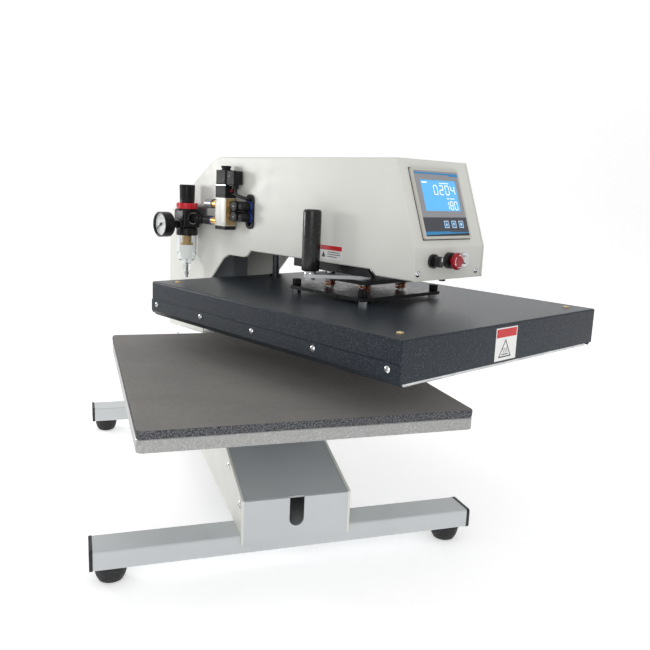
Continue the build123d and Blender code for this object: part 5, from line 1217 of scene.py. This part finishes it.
# ---- heat platen -------------------------------------------------------------------------
# A folded sheet cover in dark hammertone enamel over the cast heating plate, its lower edge
# closed by bevelled strips held with chromed dome screws. Brass screws hold the top.
hammertone = new_finish("hammertone_slate", (40, 46, 53), 0.25)
set_shader(hammertone, Specular_IOR_Level=0.22)
dimples_and_glints = object_grain(hammertone, 700.0, 1.0)
# The colour follows the hammer pattern, and its lightest stop paints bright sparkle glints as specks.
vary_colour(hammertone, dimples_and_glints, (0.34, (30, 36, 43)), (0.58, (41, 47, 55)), (0.74, (80, 86, 95)))
gloss(hammertone, 0.27, 0.4, 900.0, 2.0)
add_bump(hammertone, dimples_and_glints, 0.00009)
finish_nodes(hammertone, "platen_cover", "side_strips")
cast_plate = new_finish("turned_aluminium", (206, 207, 208), 0.32, 0.95)
vary_colour(cast_plate, object_grain(cast_plate, 60.0), (0.3, (190, 191, 193)), (0.7, (220, 221, 222)))
gloss(cast_plate, 0.24, 0.44, 220.0, 4.0, (1.0, 1.0, 0.2))
relief(cast_plate, 0.00003, 700.0, 3.0, (1.0, 1.0, 0.2))
finish_nodes(cast_plate, "heat_plate")
fibre_white = new_finish("ceramic_fibre", (214, 208, 194), 0.95)
vary_colour(fibre_white, object_grain(fibre_white, 300.0), (0.3, (196, 190, 176)), (0.7, (224, 219, 206)))
relief(fibre_white, 0.0006, 500.0, 4.0)
finish_nodes(fibre_white, "heater_blanket")
cover_low, cover_high = arm_box("platen_cover")
cover_middle = (cover_low + cover_high) / 2
cover_heads = solids_of("cover_screws", ARM)
top_heads = [s for s in cover_heads if s["low"].z > cover_high.z - 2.0]
side_heads = [s for s in cover_heads if s not in top_heads]
strip_screws = place_all("strip_screws", cross_head, head_seats(side_heads, cover_middle, ARM),
                         "heat_platen", bright_plate, "chrome_steel", Radius=0.0042, Height=0.0024,
                         Slot_Width=0.0011)
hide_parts("cover_screws")
pale_brass = new_finish("passivated_brass", (226, 205, 160), 0.3, 1.0)
gloss(pale_brass, 0.22, 0.4, 500.0)
place_all("cover_brass_screws", cross_head, head_seats(top_heads, cover_middle, ARM),
          "heat_platen", pale_brass, "brass_parts", Radius=0.0045, Height=0.0026, Slot_Width=0.0012)

# ---- labels ------------------------------------------------------------------------------
# Two self-adhesive vinyl labels with a red head and no words. The one on the cover's front skirt
# has a triangle with heat waves, the one on the arm's side a small triangle and plain bars.
label_white = print_ink("label_white", (240, 240, 238), 0.35)
label_red = print_ink("label_red", (206, 34, 40), 0.35)
label_ink = print_ink("label_ink", (40, 40, 42), 0.4)
FRONT = facing_front(0.0, cover_low.y, 0.0)
flat_piece("skirt_label", [oblong(-37.0, 265.0, 10.0, 307.5)], 0.15, 0.1, "heat_platen", label_white,
           FRONT)
flat_piece("skirt_label_head", [oblong(-35.5, 295.0, 8.5, 306.0)], 0.22, 0.06, "heat_platen", label_red,
           FRONT)
triangle = [[(-29.0, 269.0), (-1.0, 269.0), (-3.0, 270.6), (-26.8, 270.6)],
            [(-1.0, 269.0), (-15.0, 292.5), (-15.0, 289.6), (-3.6, 270.6)],
            [(-15.0, 292.5), (-29.0, 269.0), (-26.4, 270.6), (-15.0, 289.6)]]
waves = []
for x in (-19.0, -15.0, -11.0):
    left = [(x + 0.9 * math.sin(i * math.pi / 4) - 0.5, 274.6 + i * 0.85) for i in range(9)]
    right = [(px + 1.0, py) for px, py in reversed(left)]
    waves.append(left + right)
waves.append(oblong(-22.0, 272.2, -8.0, 273.4))
flat_piece("skirt_label_pictogram", triangle + waves, 0.22, 0.06, "heat_platen", label_ink,
           FRONT)
plate_low = arm_box("arm_left_plate")[0]
SIDE = facing_left(plate_low.x, 0.0, 0.0)
flat_piece("arm_label", [oblong(376.0, 368.5, 423.0, 389.5)], 0.15, 0.1, "arm", label_white,
           SIDE)
flat_piece("arm_label_head", [oblong(377.0, 382.0, 422.0, 388.6)], 0.22, 0.06, "arm", label_red,
           SIDE)
bars = [oblong(392.0, 378.6, 418.0, 379.6), oblong(392.0, 375.4, 420.0, 376.4),
        oblong(392.0, 372.2, 412.0, 373.2), [(380.0, 371.5), (388.0, 371.5), (384.0, 379.5)]]
flat_piece("arm_label_print", bars, 0.22, 0.06, "arm", label_ink, SIDE)
